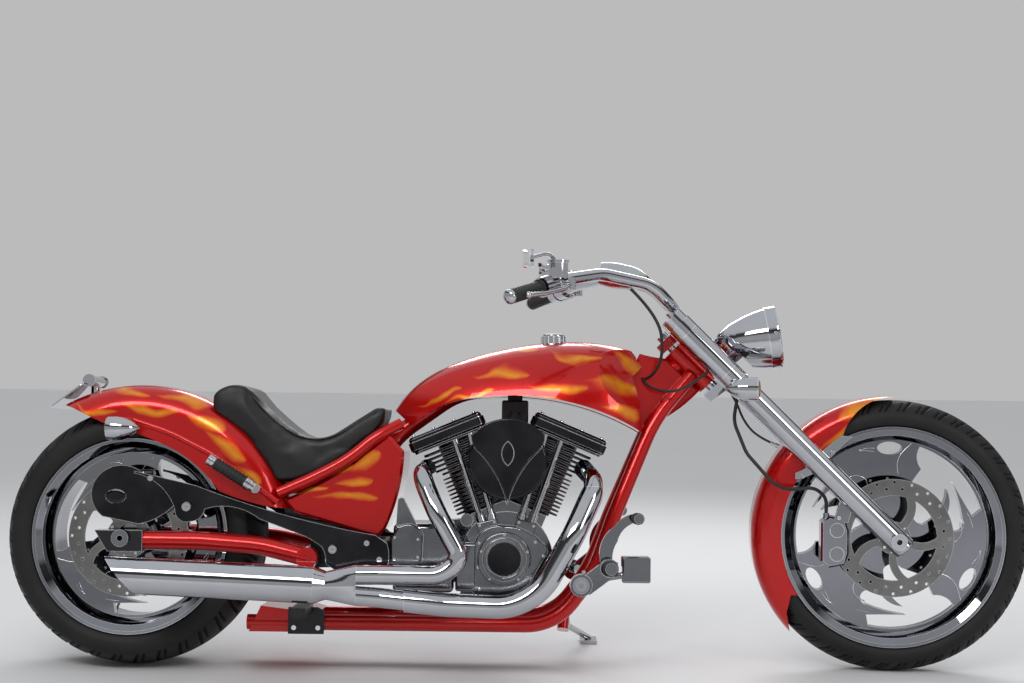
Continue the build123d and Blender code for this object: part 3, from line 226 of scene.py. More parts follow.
def flame_mask(tree):
    """How deep in a flame a point of the paint is: under 0 outside, and about 1 at a lick's heart."""
    wave = tree.nodes.new("ShaderNodeTexNoise")
    wave.inputs["Scale"].default_value = 9.0
    wave.inputs["Detail"].default_value = 1.5
    tree.links.new(position(tree), wave.inputs["Vector"])
    bent = vector_of(tree, "SUBTRACT", wave.outputs["Color"], (0.5, 0.5, 0.5))
    bent = vector_of(tree, "MULTIPLY", bent, (0.075, 0.0, 0.075))
    place = vector_of(tree, "ADD", position(tree), bent)
    deepest = None
    for head_x, head_z, tail_x, tail_z, width in LICKS:
        run = Vector((tail_x - head_x, 0, tail_z - head_z))
        along = run / run.length_squared
        across = Vector((-run.z, 0, run.x)).normalized() / width
        arm = vector_of(tree, "SUBTRACT", place, (head_x, 0.0, head_z))
        share = vector_of(tree, "DOT_PRODUCT", arm, tuple(along))
        side = math_of(tree, "ABSOLUTE", vector_of(tree, "DOT_PRODUCT", arm, tuple(across)))
        body = math_of(tree, "POWER", math_of(tree, "MAXIMUM", share, 0.0), 0.5)
        taper = math_of(tree, "MAXIMUM", math_of(tree, "SUBTRACT", 1.0, share), -1.0)
        half = math_of(tree, "MULTIPLY", math_of(tree, "MULTIPLY", body, taper), 1.35)
        depth = math_of(tree, "SUBTRACT", half, side)
        deepest = depth if deepest is None else math_of(tree, "MAXIMUM", deepest, depth)
    return deepest


def paint_material(name, flames):
    """Candy red over a metal flake, under a clear coat, with soft flames where asked."""
    material, tree, shader = new_material(name)
    colour = ramp_of(tree, noise_of(tree, position(tree), 3, 2), (0.30, (0.43, 0.002, 0.002)),
                     (0.70, (0.53, 0.004, 0.003)))
    if flames:
        mask = flame_mask(tree)
        fire = ramp_of(tree, mask, (0.0, (0.62, 0.03, 0.003)), (0.20, (0.72, 0.13, 0.006)),
                       (0.44, (0.80, 0.30, 0.010)), (0.80, (0.84, 0.44, 0.025)))
        cover = ramp_of(tree, mask, (0.0, 0.0), (0.20, 0.92))
        mottle = ramp_of(tree, noise_of(tree, position(tree), 38, 3), (0.32, 0.72), (0.62, 1.0))
        amount = math_of(tree, "MULTIPLY", cover, mottle)
        colour = mixed(tree, amount, colour, fire)
    tree.links.new(colour, shader.inputs["Base Color"])
    shader.inputs["Metallic"].default_value = 0.45
    shader.inputs["Roughness"].default_value = 0.28
    shader.inputs["Coat Weight"].default_value = 1.0
    shader.inputs["Coat Roughness"].default_value = 0.02
    shader.inputs["Coat IOR"].default_value = 1.36
    shader.inputs["Specular IOR Level"].default_value = 0.2
    bump_of(tree, shader, noise_of(tree, position(tree), 900, 1), 0.03, 0.0004)
    return material


def metal_material(name, dark, pale, roughness, grain=60, bump=0.05, metallic=1.0, edge=None, reach=0.0015):
    material, tree, shader = new_material(name)
    colour = ramp_of(tree, noise_of(tree, position(tree), 12, 4), (0.3, dark), (0.7, pale))
    # an edge colour, where given, paints highlights along sharp edges
    if edge:
        colour = mixed(tree, edge_highlight_mask(tree, reach), colour, edge)
    tree.links.new(colour, shader.inputs["Base Color"])
    shader.inputs["Metallic"].default_value = metallic
    low, high = roughness
    tree.links.new(ramp_of(tree, noise_of(tree, position(tree), grain, 5), (0.3, low), (0.7, high)),
                   shader.inputs["Roughness"])
    bump_of(tree, shader, noise_of(tree, position(tree), grain * 8, 2), bump, 0.0004)
    return material


def rubber_material(name, dark, pale, rough=0.62, bump=0.25, scale=260, shine=0.30):
    material, tree, shader = new_material(name)
    tree.links.new(ramp_of(tree, noise_of(tree, position(tree), 9, 5), (0.3, dark), (0.75, pale)),
                   shader.inputs["Base Color"])
    shader.inputs["Roughness"].default_value = rough
    shader.inputs["Specular IOR Level"].default_value = shine
    bump_of(tree, shader, noise_of(tree, position(tree), scale, 4), bump, 0.0006)
    return material


def leather_material(name):
    """Smooth black leather: fine pebbled grain over a few soft creases."""
    material, tree, shader = new_material(name)
    tree.links.new(ramp_of(tree, noise_of(tree, position(tree), 7, 4), (0.3, (0.005, 0.005, 0.006)),
                           (0.75, (0.011, 0.011, 0.012))), shader.inputs["Base Color"])
    tree.links.new(ramp_of(tree, noise_of(tree, position(tree), 30, 4), (0.3, 0.34), (0.7, 0.50)),
                   shader.inputs["Roughness"])
    shader.inputs["Specular IOR Level"].default_value = 0.38
    grain = tree.nodes.new("ShaderNodeTexVoronoi")
    grain.feature = "DISTANCE_TO_EDGE"
    grain.inputs["Scale"].default_value = 420
    tree.links.new(position(tree), grain.inputs["Vector"])
    height = math_of(tree, "ADD", math_of(tree, "MULTIPLY", grain.outputs["Distance"], 0.6),
                     math_of(tree, "MULTIPLY", noise_of(tree, position(tree), 22, 3), 0.8))
    bump_of(tree, shader, height, 0.22, 0.0012)
    return material


def glass_material(name, colour=(0.95, 0.97, 1.0), rough=0.02, clear=0.92):
    material, tree, shader = new_material(name)
    shader.inputs["Base Color"].default_value = (*colour, 1)
    shader.inputs["Transmission Weight"].default_value = clear
    shader.inputs["Roughness"].default_value = rough
    shader.inputs["IOR"].default_value = 1.45
    ribs = tree.nodes.new("ShaderNodeTexWave")
    ribs.bands_direction = "Y"
    ribs.inputs["Scale"].default_value = 42
    tree.links.new(position(tree), ribs.inputs["Vector"])
    bump_of(tree, shader, ribs.outputs["Fac"], 0.22, 0.001)
    return material


BLACK, SOFT_BLACK = (0.012, 0.012, 0.012), (0.028, 0.028, 0.028)
MATERIALS = {
    "red_paint": paint_material("red_paint", False),
    "flame_paint": paint_material("flame_paint", True),
    "chrome": chrome_material(),
    # polished_case, dark_plate and rotor_steel: their near-white edge colours are painted highlights along
    # sharp edges
    "polished_case": metal_material("polished_case", (0.15, 0.155, 0.165), (0.24, 0.245, 0.26),
                                    (0.07, 0.16), 50, 0.02, edge=(0.88, 0.89, 0.91), reach=HIGHLIGHT_REACH),
    "dark_plate": metal_material("dark_plate", (0.020, 0.020, 0.023), (0.045, 0.045, 0.05),
                                 (0.06, 0.14), 50, 0.02, edge=PLATE_EDGE_HIGHLIGHT, reach=HIGHLIGHT_REACH),
    # the fins' bright rims: partly their own cut metal and partly painted highlight
    "black_fins": metal_material("black_fins", (0.012, 0.012, 0.013), (0.030, 0.030, 0.032),
                                 (0.32, 0.5), 80, 0.2, edge=(0.55, 0.55, 0.57), reach=0.0018),
    "black_metal": metal_material("black_metal", (0.010, 0.010, 0.011), (0.022, 0.022, 0.024),
                                  (0.3, 0.45), 60, 0.1, 0.4),
    "leather": leather_material("leather"),
    "grip_rubber": rubber_material("grip_rubber", BLACK, SOFT_BLACK, 0.5),
    "hose_rubber": rubber_material("hose_rubber", (0.015, 0.015, 0.015), SOFT_BLACK, 0.38, 0.1),
    "belt_rubber": rubber_material("belt_rubber", BLACK, SOFT_BLACK, 0.6, 0.2),
    "tyre_rubber": rubber_material("tyre_rubber", (0.006, 0.006, 0.007), (0.014, 0.0135, 0.013),
                                   0.58, 0.22, 340),
    "rotor_steel": metal_material("rotor_steel", (0.17, 0.168, 0.165), (0.25, 0.247, 0.24),
                                  (0.16, 0.28), 120, 0.06, edge=(0.80, 0.80, 0.82), reach=0.002),
    "lens_glass": glass_material("lens_glass"),
}
# near-black rubber for the silencer's inside: soot, and painted shade deeper in the pipe
SOOT_AND_SHADE = rubber_material("soot", (0.004, 0.004, 0.004), (0.012, 0.011, 0.010), 0.9, 0.2, 120)
AMBER = glass_material("amber_lens", (0.95, 0.55, 0.20), 0.05, 0.85)
RED_LENS = glass_material("red_lens", (0.75, 0.03, 0.02), 0.05, 0.75)
MIRROR = chrome_material("mirror_glass", (0.86, 0.88, 0.90), (0.005, 0.02))
ENGRAVED = chrome_material("engraved_line", (0.90, 0.91, 0.93), (0.10, 0.20))
# painted shade: a darker copy of the chrome, for the rims, foot controls, front caliper and rear axle
SHADED_CHROME = chrome_material("dark_chrome", (0.25, 0.255, 0.28), (0.02, 0.06))
# painted shade in the tread grooves: a rubber darker than the tyre's own
GROOVE_SHADE = rubber_material("tyre_groove", (0.002, 0.002, 0.002), (0.004, 0.004, 0.004), 0.9, 0.1)
SHADED_CHROME_NODES = ("front_rim", "rear_rim", "foot_controls", "front_caliper", "rear_axle")
AXLE_BLOCK_FRONT = 0.052   # from the rear axle to the front of each axle block, in metres


def arm_material():
    """Candy red arms, whose axle blocks are dark polished metal with painted highlights along their edges.
    """
    material = paint_material("swingarm_paint", False)
    tree = material.node_tree
    shader = tree.nodes["Principled BSDF"]
    split = tree.nodes.new("ShaderNodeSeparateXYZ")
    tree.links.new(position(tree), split.inputs["Vector"])
    edge = joint_named("rear_wheel_spin")["pos_m"][0] + AXLE_BLOCK_FRONT
    behind = math_of(tree, "LESS_THAN", split.outputs["X"], edge)
    red = shader.inputs["Base Color"].links[0].from_socket
    # painted highlight along the axle blocks' edges
    plate = mixed(tree, edge_highlight_mask(tree, HIGHLIGHT_REACH), (0.030, 0.030, 0.034), PLATE_EDGE_HIGHLIGHT)
    tree.links.new(mixed(tree, behind, red, plate), shader.inputs["Base Color"])
    tree.links.new(ramp_of(tree, behind, (0.0, 0.45), (1.0, 1.0)), shader.inputs["Metallic"])
    tree.links.new(ramp_of(tree, behind, (0.0, 0.28), (1.0, 0.10)), shader.inputs["Roughness"])
    return material


def dress_nodes():
    for part in record["subparts"]:
        thing = nodes[part["node"]]
        thing.data.materials.clear()
        # the parts listed for the darker chrome get it as painted shade
        look = SHADED_CHROME if part["node"] in SHADED_CHROME_NODES else MATERIALS[part["material_slot"]]
        thing.data.materials.append(look)
    nodes["swingarm"].data.materials[0] = arm_material()


dress_nodes()


# Making pieces
# Pieces are drawn in millimetres of the upright bike, as in the CAD source.
def v(x, y, z):
    """A place in millimetres, as a vector in metres."""
    return Vector((x, y, z)) / 1000


class Shape:
    """Points and faces that are gathered into one mesh."""

    def __init__(self):
        self.points, self.faces = [], []

    def add(self, points, faces):
        start = len(self.points)
        self.points += points
        self.faces += [tuple(start + number for number in face) for face in faces]

    def rings(self, rings, closed_ends=True):
        """Join rings of equally many points, one after another, and close both ends."""
        count = len(rings[0])
        faces = []
        for row in range(len(rings) - 1):
            here, above = row * count, (row + 1) * count
            for col in range(count):
                nxt = (col + 1) % count
                faces.append((here + col, here + nxt, above + nxt, above + col))
        if closed_ends:
            faces.append(tuple(reversed(range(count))))
            faces.append(tuple((len(rings) - 1) * count + col for col in range(count)))
        self.add([point for ring in rings for point in ring], faces)

    def lathe(self, start, way, profile, steps=32, closed_ends=True):
        """A turned form: rows of distance along the way and radius, both in millimetres."""
        way = Vector(way).normalized()
        side = way.orthogonal().normalized()
        other = way.cross(side)
        rings = []
        angles = [2 * pi * n / steps for n in range(steps)]
        for along, radius in profile:
            middle = start + way * along / 1000
            rings.append([middle + (side * cos(angle) + other * sin(angle)) * radius / 1000
                          for angle in angles])
        self.rings(rings, closed_ends)

    def screw(self, place, way, radius, steps=18):
        """A socket-head screw: a bevelled head with a six-sided recess."""
        r, tall = radius, radius * 0.9
        self.lathe(place, way, ((-1.5, r), (tall * 0.75, r), (tall, r * 0.85)), steps)
        self.lathe(place, way, ((tall * 0.6, r * 0.5), (tall + 0.05, r * 0.52)), 6)

    def mirrored(self):
        """The same again on the other side of the bike."""
        points = [Vector((p.x, -p.y, p.z)) for p in self.points]
        self.add(points, [tuple(reversed(face)) for face in self.faces])


def piece(name, shape, slot, body, matrix, material=None, smooth=35):
    mesh = bpy.data.meshes.new(name)
    mesh.from_pydata([matrix @ point for point in shape.points], [], shape.faces)
    mesh.update()
    work = bmesh.new()
    work.from_mesh(mesh)
    bmesh.ops.recalc_face_normals(work, faces=work.faces)
    work.to_mesh(mesh)
    work.free()
    mesh.materials.append(material or MATERIALS[slot])
    mesh.shade_smooth()
    mesh.set_sharp_from_angle(angle=radians(smooth))
    return placed(name, mesh, body)


def placed(name, data, body):
    """An object of this mesh or curve, on its body."""
    thing = bpy.data.objects.new(name, data)
    bpy.context.collection.objects.link(thing)
    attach(thing, body)
    return thing


def tube_data(name, diameter, facets=5, steps=16):
    """A curve that is drawn as a tube with closed ends, with no line in it yet."""
    data = bpy.data.curves.new(name, "CURVE")
    data.dimensions = "3D"
    data.bevel_depth = diameter / 2000
    data.bevel_resolution = facets
    data.resolution_u = steps
    data.use_fill_caps = True
    return data


def add_line(data, places, order=3):
    """A NURBS line from the first of these places to the last."""
    line = data.splines.new("NURBS")
    line.points.add(len(places) - 1)
    for spot, place in zip(line.points, places):
        spot.co = (*place, 1)
    line.order_u = order
    line.use_endpoint_u = True


def cable(name, points, diameter, slot, body, matrix):
    """A smooth tube that is held at both ends."""
    data = tube_data(name, diameter)
    add_line(data, [matrix @ v(*point) for point in points])
    data.materials.append(MATERIALS[slot])
    placed(name, data, body)


def ribs(start, pitch, count, low, high, rise, width):
    """Rows of a turned profile: this many ribs, each from the low radius up to the high one and back."""
    rows = []
    for number in range(count):
        along = start + pitch * number
        rows += [(along, low), (along + rise, high), (along + width - rise, high), (along + width, low)]
    return rows


# Tyres
def arc(start, middle, end, steps):
    """Points on the circle through three points, without the first."""
    (ax, ay), (bx, by), (cx, cy) = start, middle, end
    d = 2 * (ax * (by - cy) + bx * (cy - ay) + cx * (ay - by))
    ux = ((ax**2 + ay**2) * (by - cy) + (bx**2 + by**2) * (cy - ay) + (cx**2 + cy**2) * (ay - by)) / d
    uy = ((ax**2 + ay**2) * (cx - bx) + (bx**2 + by**2) * (ax - cx) + (cx**2 + cy**2) * (bx - ax)) / d
    radius = sqrt((ax - ux) ** 2 + (ay - uy) ** 2)
    low, mid, high = (atan2(y - uy, x - ux) for x, y in (start, middle, end))
    while mid < low:
        mid += 2 * pi
    while high < low:
        high += 2 * pi
    if mid > high:
        high -= 2 * pi
    angles = [low + (high - low) * n / steps for n in range(1, steps + 1)]
    return [(ux + radius * cos(angle), uy + radius * sin(angle)) for angle in angles]


def tyre_section(radius, width, crown, bead, lip, seat, fine):
    """Round the section as (y, radius), with the tread's share marked by its place across, or None."""
    shoulder_y = width / 2 - 7
    shoulder_r = radius - crown + sqrt(crown ** 2 - shoulder_y ** 2)
    side_r = (lip + shoulder_r) / 2
    rows = [((seat, bead), None), ((seat, lip + 1.5), None), ((seat + 6, lip + 2), None)]
    wall = arc((seat + 6, lip + 2), (width / 2, side_r), (shoulder_y, shoulder_r), 12)
    rows += [(point, None) for point in wall]
    tread = arc((shoulder_y, shoulder_r), (0, radius), (-shoulder_y, shoulder_r), fine)
    rows += [(point, point[0] / shoulder_y) for point in tread]
    wall = arc((-shoulder_y, shoulder_r), (-width / 2, side_r), (-seat - 6, lip + 2), 12)
    rows += [(point, None) for point in wall]
    rows += [((-seat, lip + 1.5), None), ((-seat, bead), None)]
    return rows


def groove_depth(turn, across, repeats, lines):
    """How deep a groove is here: curved ones out over each shoulder, and straight ones round the tyre."""
    depth = 0.0
    side = 0.0 if across > 0 else 0.5
    out = abs(across)
    for start, end, lead, wide in ((0.20, 0.99, 0.75, 0.115), (0.52, 1.0, 0.95, 0.080)):
        if start < out < end:
            shift = 0.5 if start > 0.4 else 0.0
            place = (turn * repeats + side + lead * (out - start) ** 1.4 + shift) % 1.0
            inside = 1 - abs(place - 0.5) / (wide * (0.55 + 0.45 * out))
            ends = min((out - start) / 0.06, (end - out) / 0.02 + 0.4, 1.0)
            depth = max(depth, min(1.0, max(0.0, inside) * 2.5) * ends)
    for line in lines:
        depth = max(depth, min(1.0, max(0.0, 1 - abs(out - line) / 0.035) * 2.0))
    return depth


GROOVE_SHARE = 2.4         # a face is in a groove where its four corners' depths add up to this many depths


def tyre(name, node, body, centre, matrix, sizes, around, fine, repeats, lines, deep):
    """A tyre with its tread cut in: so many steps around, so fine across, and grooves this deep."""
    rows = tyre_section(*sizes, fine)
    points, faces, cuts = [], [], []
    count = len(rows)
    for step in range(around):
        angle = 2 * pi * step / around
        for (y, radius), across in rows:
            cut = groove_depth(step / around, across, repeats, lines) * deep if across is not None else 0.0
            cuts.append(cut)
            reach = (radius - cut) / 1000
            points.append(centre + Vector((reach * sin(angle), y / 1000, reach * cos(angle))))
        here, nxt = step * count, (step + 1) % around * count
        faces += [(here + n, here + (n + 1) % count, nxt + (n + 1) % count, nxt + n) for n in range(count)]
    shape = Shape()
    shape.add(points, faces)
    thing = piece(name, shape, "tyre_rubber", body, matrix, smooth=50)
    # faces deep in a groove get the darker rubber of painted groove shade
    thing.data.materials.append(GROOVE_SHADE)
    for face in thing.data.polygons:
        if sum(cuts[number] for number in face.vertices) > GROOVE_SHARE * deep:
            face.material_index = 1
    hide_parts(node)


def make_tyres():
    # radius, width, crown, bead, lip and seat, as the CAD's
    tyre("front_tyre_tread", "front_tyre", "front_wheel", FRONT_AXLE, TURNED,
         (348, 120, 66, 267, 282, 45.7), 880, 56, 44, (), 4.5)
    tyre("rear_tyre_tread", "rear_tyre", "rear_wheel", REAR_AXLE, UPRIGHT,
         (328, 250, 230, 230, 245, 108.7), 800, 70, 34, (0.07,), 5.0)


# Seat
# the first three are in metres, and the seam is x and z in millimetres
SEAT_VOXEL = 0.006
SEAT_RISE = 0.007          # the furthest that a point of the pad may move
SEAT_BASE = 0.50           # what is lower than this is held still
SEAM = ((214, 694), (252, 701), (282, 688), (312, 652), (345, 616), (385, 586), (430, 565), (475, 563),
        (520, 575), (570, 606), (610, 636))


def seat_mesh():
    """The CAD cushion, remeshed fine and rounded off, a little smaller than its place."""
    source = nodes["seat"]
    thing = bpy.data.objects.new("seat_cushion", source.data.copy())
    bpy.context.collection.objects.link(thing)
    remesh = thing.modifiers.new("remesh", "REMESH")
    remesh.mode = "VOXEL"
    remesh.voxel_size = SEAT_VOXEL
    soften = thing.modifiers.new("soften", "SMOOTH")
    soften.factor = 0.5
    soften.iterations = 9
    bake(thing)
    return thing


def bake(thing):
    """Replace the object's mesh by what its modifiers make of it."""
    graph = bpy.context.evaluated_depsgraph_get()
    mesh = bpy.data.meshes.new_from_object(thing.evaluated_get(graph))
    thing.modifiers.clear()
    thing.data = mesh


def swell(thing, cap, hold):
    """Blow the pad up with cloth pressure, and let no point move further than the cap."""
    before = [vertex.co.copy() for vertex in thing.data.vertices]
    pin = thing.vertex_groups.new(name="pin")
    pin.add([n for n, point in enumerate(before) if hold(point)], 1.0, "REPLACE")
    cloth = thing.modifiers.new("cloth", "CLOTH")
    cloth.settings.use_pressure = True
    cloth.settings.uniform_pressure_force = 4
    cloth.settings.quality = 5
    cloth.settings.tension_stiffness = 20
    cloth.settings.compression_stiffness = 20
    cloth.settings.bending_stiffness = 2
    cloth.settings.vertex_group_mass = "pin"
    cloth.settings.effector_weights.gravity = 0
    for number in range(1, 21):
        bpy.context.scene.frame_set(number)
    bake(thing)
    bpy.context.scene.frame_set(1)
    for vertex, start in zip(thing.data.vertices, before):
        move = vertex.co - start
        if move.length > cap:
            vertex.co = start + move.normalized() * cap
    calm = thing.modifiers.new("calm", "SMOOTH")
    calm.factor = 0.5
    calm.iterations = 8
    bake(thing)


def make_seat():
    cushion = seat_mesh()
    back = UPRIGHT.inverted()
    swell(cushion, SEAT_RISE, lambda point: (back @ point).z < SEAT_BASE)
    cushion.data.materials.clear()
    cushion.data.materials.append(MATERIALS["leather"])
    cushion.data.shade_smooth()
    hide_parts("seat")
    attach(cushion, "root")
    tree = BVHTree.FromPolygons([vertex.co for vertex in cushion.data.vertices],
                                [tuple(face.vertices) for face in cushion.data.polygons])
    for side in (-1, 1):
        piping(tree, side)


def piping(tree, side):
    """The corded seam along the cushion's upper edge, laid on it from outside."""
    line = []
    for x, z in SEAM:
        start = UPRIGHT @ v(x, side * 190, z + 60)
        aim = UPRIGHT @ v(x, side * 20, z - 40)
        hit = tree.ray_cast(start, (aim - start).normalized())[0]
        if hit:
            line.append(hit)
    data = tube_data("seat_piping", 4.2, 4, 12)
    add_line(data, line, 4)
    data.materials.append(MATERIALS["leather"])
    placed("seat_piping_right" if side < 0 else "seat_piping_left", data, "root")


# Controls
BAR_INNER, BAR_TIP = v(1110, -260, 994), v(978, -428, 945)


def bar_line(share):
    return BAR_INNER + (BAR_TIP - BAR_INNER) * share


def make_grips():
    """Ribbed rubber with a flange, and a polished cap on the end."""
    start, way = bar_line(0.50), BAR_TIP - BAR_INNER
    length = way.length * 1000 * 0.49
    profile = [(0, 15.8), (0, 21), (5, 21), (7, 17.0)]
    profile += ribs(10, (length - 16) / 17, 17, 16.6, 17.6, 0.9, 4.9)
    profile += [(length - 1, 17.4), (length, 16)]
    shape = Shape()
    shape.lathe(start, way, profile, 28)
    shape.mirrored()
    grips = piece("grip_rubbers", shape, "grip_rubber", "fork", TURNED)
    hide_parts("grips")
    caps = Shape()
    caps.lathe(bar_line(0.988), way, ((0, 17.7), (5, 17.7), (9, 15), (11.5, 9), (12, 3)), 28)
    caps.mirrored()
    piece("grip_caps", caps, "chrome", "fork", TURNED)


def make_mirror_glass():
    """The glass in each cat-eye mirror, facing the rider."""
    middle = bar_line(0.27) + v(-56, -62, 58) - v(5, 2, 0)
    out = Vector((1, 0.3, 0)).normalized()
    across = Vector((-0.3, 1, 0)).normalized()
    up = out.cross(across)
    outline = ((-38, 17), (-19, 14), (0, 11.5), (19, 14), (38, 17), (32, 0),
               (38, -17), (19, -14), (0, -11.5), (-19, -14), (-38, -17), (-32, 0))
    rim = [middle - out * 0.0012 + across * x / 1000 + up * z / 1000 for x, z in outline]
    shape = Shape()
    shape.rings([rim, [point + out * 0.0016 for point in rim]])
    shape.mirrored()
    piece("mirror_glass", shape, "chrome", "fork", TURNED, MIRROR)


# Lamps
def make_lenses():
    """Domed lenses on the four bullet lamps, the headlight's bulb and trim, and the tail lamp's band."""
    front = Shape()
    front.lathe(v(1578, -174, 726), (1, 0, 0), ((0.2, 26), (3, 25), (6, 21), (8, 14), (9, 5)), 32)
    front.mirrored()
    piece("front_signal_lenses", front, "lens_glass", "fork", TURNED, AMBER)
    rims = Shape()
    rims.lathe(v(1576, -174, 726), (1, 0, 0), ((0, 29.4), (3.5, 29.6), (4.2, 28.5), (4.2, 26)), 40)
    rims.mirrored()
    piece("front_signal_rims", rims, "chrome", "fork", TURNED)
    rear = Shape()
    rear.lathe(v(-48, -176, 597), (-1, 0, 0), ((-1, 27), (2, 26), (4, 22), (6, 14), (7, 5)), 32)
    rear.mirrored()
    piece("rear_signal_lenses", rear, "lens_glass", "root", UPRIGHT, AMBER)
    tilt = radians(9)
    ahead = Vector((cos(tilt), 0, sin(tilt)))
    bulb = Shape()
    lens = v(1640, 0, 856)
    bulb.lathe(lens - ahead * 0.062, ahead, ((0, 16), (12, 16), (14, 9), (30, 9), (36, 6), (38, 2)), 24)
    piece("headlight_bulb", bulb, "chrome", "fork", TURNED)
    trim = Shape()
    profile = ((0, 82.4), (4, 83.2), (6.5, 81.5), (6.5, 77), (1.5, 76.2))
    trim.lathe(lens - ahead * 0.001, ahead, profile, 72, False)
    piece("headlight_trim", trim, "chrome", "fork", TURNED)
    band = Shape()
    rings = []
    for y in (-50, -48, 48, 50):
        reach = 14.8 if abs(y) < 49 else 13.8
        rings.append([v(-128 + reach * cos(a), y, 720 + reach * sin(a))
                      for a in (radians(180 + step * 10) for step in range(-6, 7))])
    band.rings(rings)
    piece("tail_lamp_lens", band, "lens_glass", "root", UPRIGHT, RED_LENS)


def make_rear_lamps():
    """The plate holder and tail lamp as they are, and the signals with the lens to the rear."""
    source = nodes["rear_lamps"].data
    back = UPRIGHT.inverted()
    points = [back @ vertex.co for vertex in source.vertices]
    shape = Shape()
    kept = [face for face in source.polygons if all(abs(points[n].y) < 0.120 for n in face.vertices)]
    numbers = sorted({n for face in kept for n in face.vertices})
    place = {n: row for row, n in enumerate(numbers)}
    shape.add([points[n] for n in numbers], [tuple(place[n] for n in face.vertices) for face in kept])
    signals = Shape()
    profile = [(0.0, 0.4)] + arc((0.0, 0.0), (24, 21), (60, 30), 16) + [(77, 30), (80, 28.5), (80, 27)]
    signals.lathe(v(32, -176, 597), (-1, 0, 0), profile, 48)
    signals.lathe(v(0, -160, 597), (0, 1, 0), ((0, 8), (14.4, 8)), 20)
    signals.mirrored()
    shape.add(signals.points, signals.faces)
    lamps = piece("rear_lamp_set", shape, "chrome", "root", UPRIGHT)
    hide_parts("rear_lamps")


# Screws and bolts
def head_point(tilt, x, y, z):
    """A point in the frame of one cylinder, from the crank."""
    angle = radians(tilt)
    return v(946 + x * cos(angle) + z * sin(angle), y, 280 - x * sin(angle) + z * cos(angle))


def make_screws():
    right = Vector((0, -1, 0))
    engine = Shape()
    for step in range(5):
        angle = radians(90 + 72 * step)
        engine.screw(v(941 + 60.5 * cos(angle), -160, 284 + 60.5 * sin(angle)), right, 3.4)
    for x, z in ((880, 208), (972, 202), (1008, 236), (1038, 292), (1018, 326), (878, 322), (876, 262)):
        engine.screw(v(x, -140, z), right, 4.2)
    for x, tilt in ((902, -14), (990, 14)):
        for across, up in ((-19, 22), (19, 22), (-19, -20), (19, -20)):
            angle = radians(tilt)
            engine.screw(v(x + across * cos(angle) + up * sin(angle), -124,
                           348 - across * sin(angle) + up * cos(angle)), right, 4)
    for tilt, outward in ((22.5, 22), (-22.5, -22)):
        up = head_point(tilt, 0, 0, 400) - head_point(tilt, 0, 0, 399)
        for across in (-82, -28, 28, 82):
            for y in (-84, 60):
                engine.screw(head_point(tilt, outward + across, y, 373), up, 4.6)
    for x, z in ((668, 334), (668, 280), (726, 286), (726, 330)):
        engine.screw(v(x, -150, z), right, 4)
    piece("engine_screws", engine, "chrome", "root", UPRIGHT)
    body = Shape()
    for x, z, radius in ((152, 405, 13), (516, 304, 12), (632, 280, 8), (60, 474, 8), (600, 320, 8)):
        body.screw(v(x, -165, z), right, radius, 24)
    body.mirrored()
    for x, z in ((420, 108), (420, 140), (480, 108)):
        body.screw(v(x, -136, z), right, 7, 24)
    for step in range(10):
        angle = 2 * pi * step / 10
        wide = 88 if cos(angle) > -0.2 else 64
        middle = 940 if cos(angle) > -0.2 else 768
        body.screw(v(middle + wide * cos(angle), 172, 286 + wide * sin(angle)), -right, 4.5)
    body.lathe(v(1128, -262, 230), right, ((0, 20), (2, 20), (2, 12), (3, 12), (3, 8), (7, 8)), 32)
    for x, z in ((1134, 262), (1196, 284)):
        body.screw(v(x, -256, z), right, 5)
    piece("frame_bolts", body, "chrome", "root", UPRIGHT)
    fork = Shape()
    axle = FRONT_AXLE * 1000
    for z in (112, 62):
        fork.screw(v(axle.x - 152 + (28 if z > 100 else 10), -92, axle.z - 10 + z), right, 6)
    for step in range(2):
        fork.screw(v(1702 + 74 * step, -86, 504 + 60 * step), right, 6)
    fork.screw(v(1632, -83, 866), right, 5)
    fork.screw(v(1632, 83, 866), -right, 5)
    piece("fork_bolts", fork, "chrome", "fork", TURNED)
    wheel_bolts("front_wheel_bolts", "front_wheel", FRONT_AXLE, -67, 33, 44, TURNED)
    wheel_bolts("rear_wheel_bolts", "rear_wheel", REAR_AXLE, -128, 46, 56, UPRIGHT)


def wheel_bolts(name, body, centre, face, first, second, matrix):
    """Five bolts in the rotor's carrier, and the rivets between them."""
    shape = Shape()
    for step in range(5):
        for shift, radius, size in ((0, first, 4.6), (36, second - 8, 3.0)):
            angle = radians(72 * step + shift + 10)
            place = centre + v(radius * sin(angle), face, radius * cos(angle))
            shape.screw(place, (0, -1, 0), size)
    lip = 262 if body == "front_wheel" else 224
    angle = radians(196)
    stem = centre + v((lip - 8) * sin(angle), 0, (lip - 8) * cos(angle))
    inward = centre - stem
    shape.lathe(stem, inward, ((-8, 4.2), (6, 4.2), (7, 3), (26, 3), (27, 4), (36, 4), (37, 2.5)), 16)
    piece(name, shape, "chrome", body, matrix)


# Covers
def make_cam_face():
    """The bare dark disc inside the cam cover's bright ring."""
    shape = Shape()
    profile = ((0, 43.2), (1.9, 43.2), (2.5, 42.4), (2.9, 30), (3.0, 1))
    shape.lathe(v(941, -158.5, 284), (0, -1, 0), profile, 72)
    piece("cam_cover_face", shape, "dark_plate", "root", UPRIGHT)


# how far out each ring of the caliper's cap is, as y, and its half width and half height
CAP_RINGS = ((-153.0, 26, 18), (-156.4, 26, 18), (-157.6, 24, 16), (-158.4, 16, 10), (-158.6, 2, 1.4))
CAP_STEPS = 48


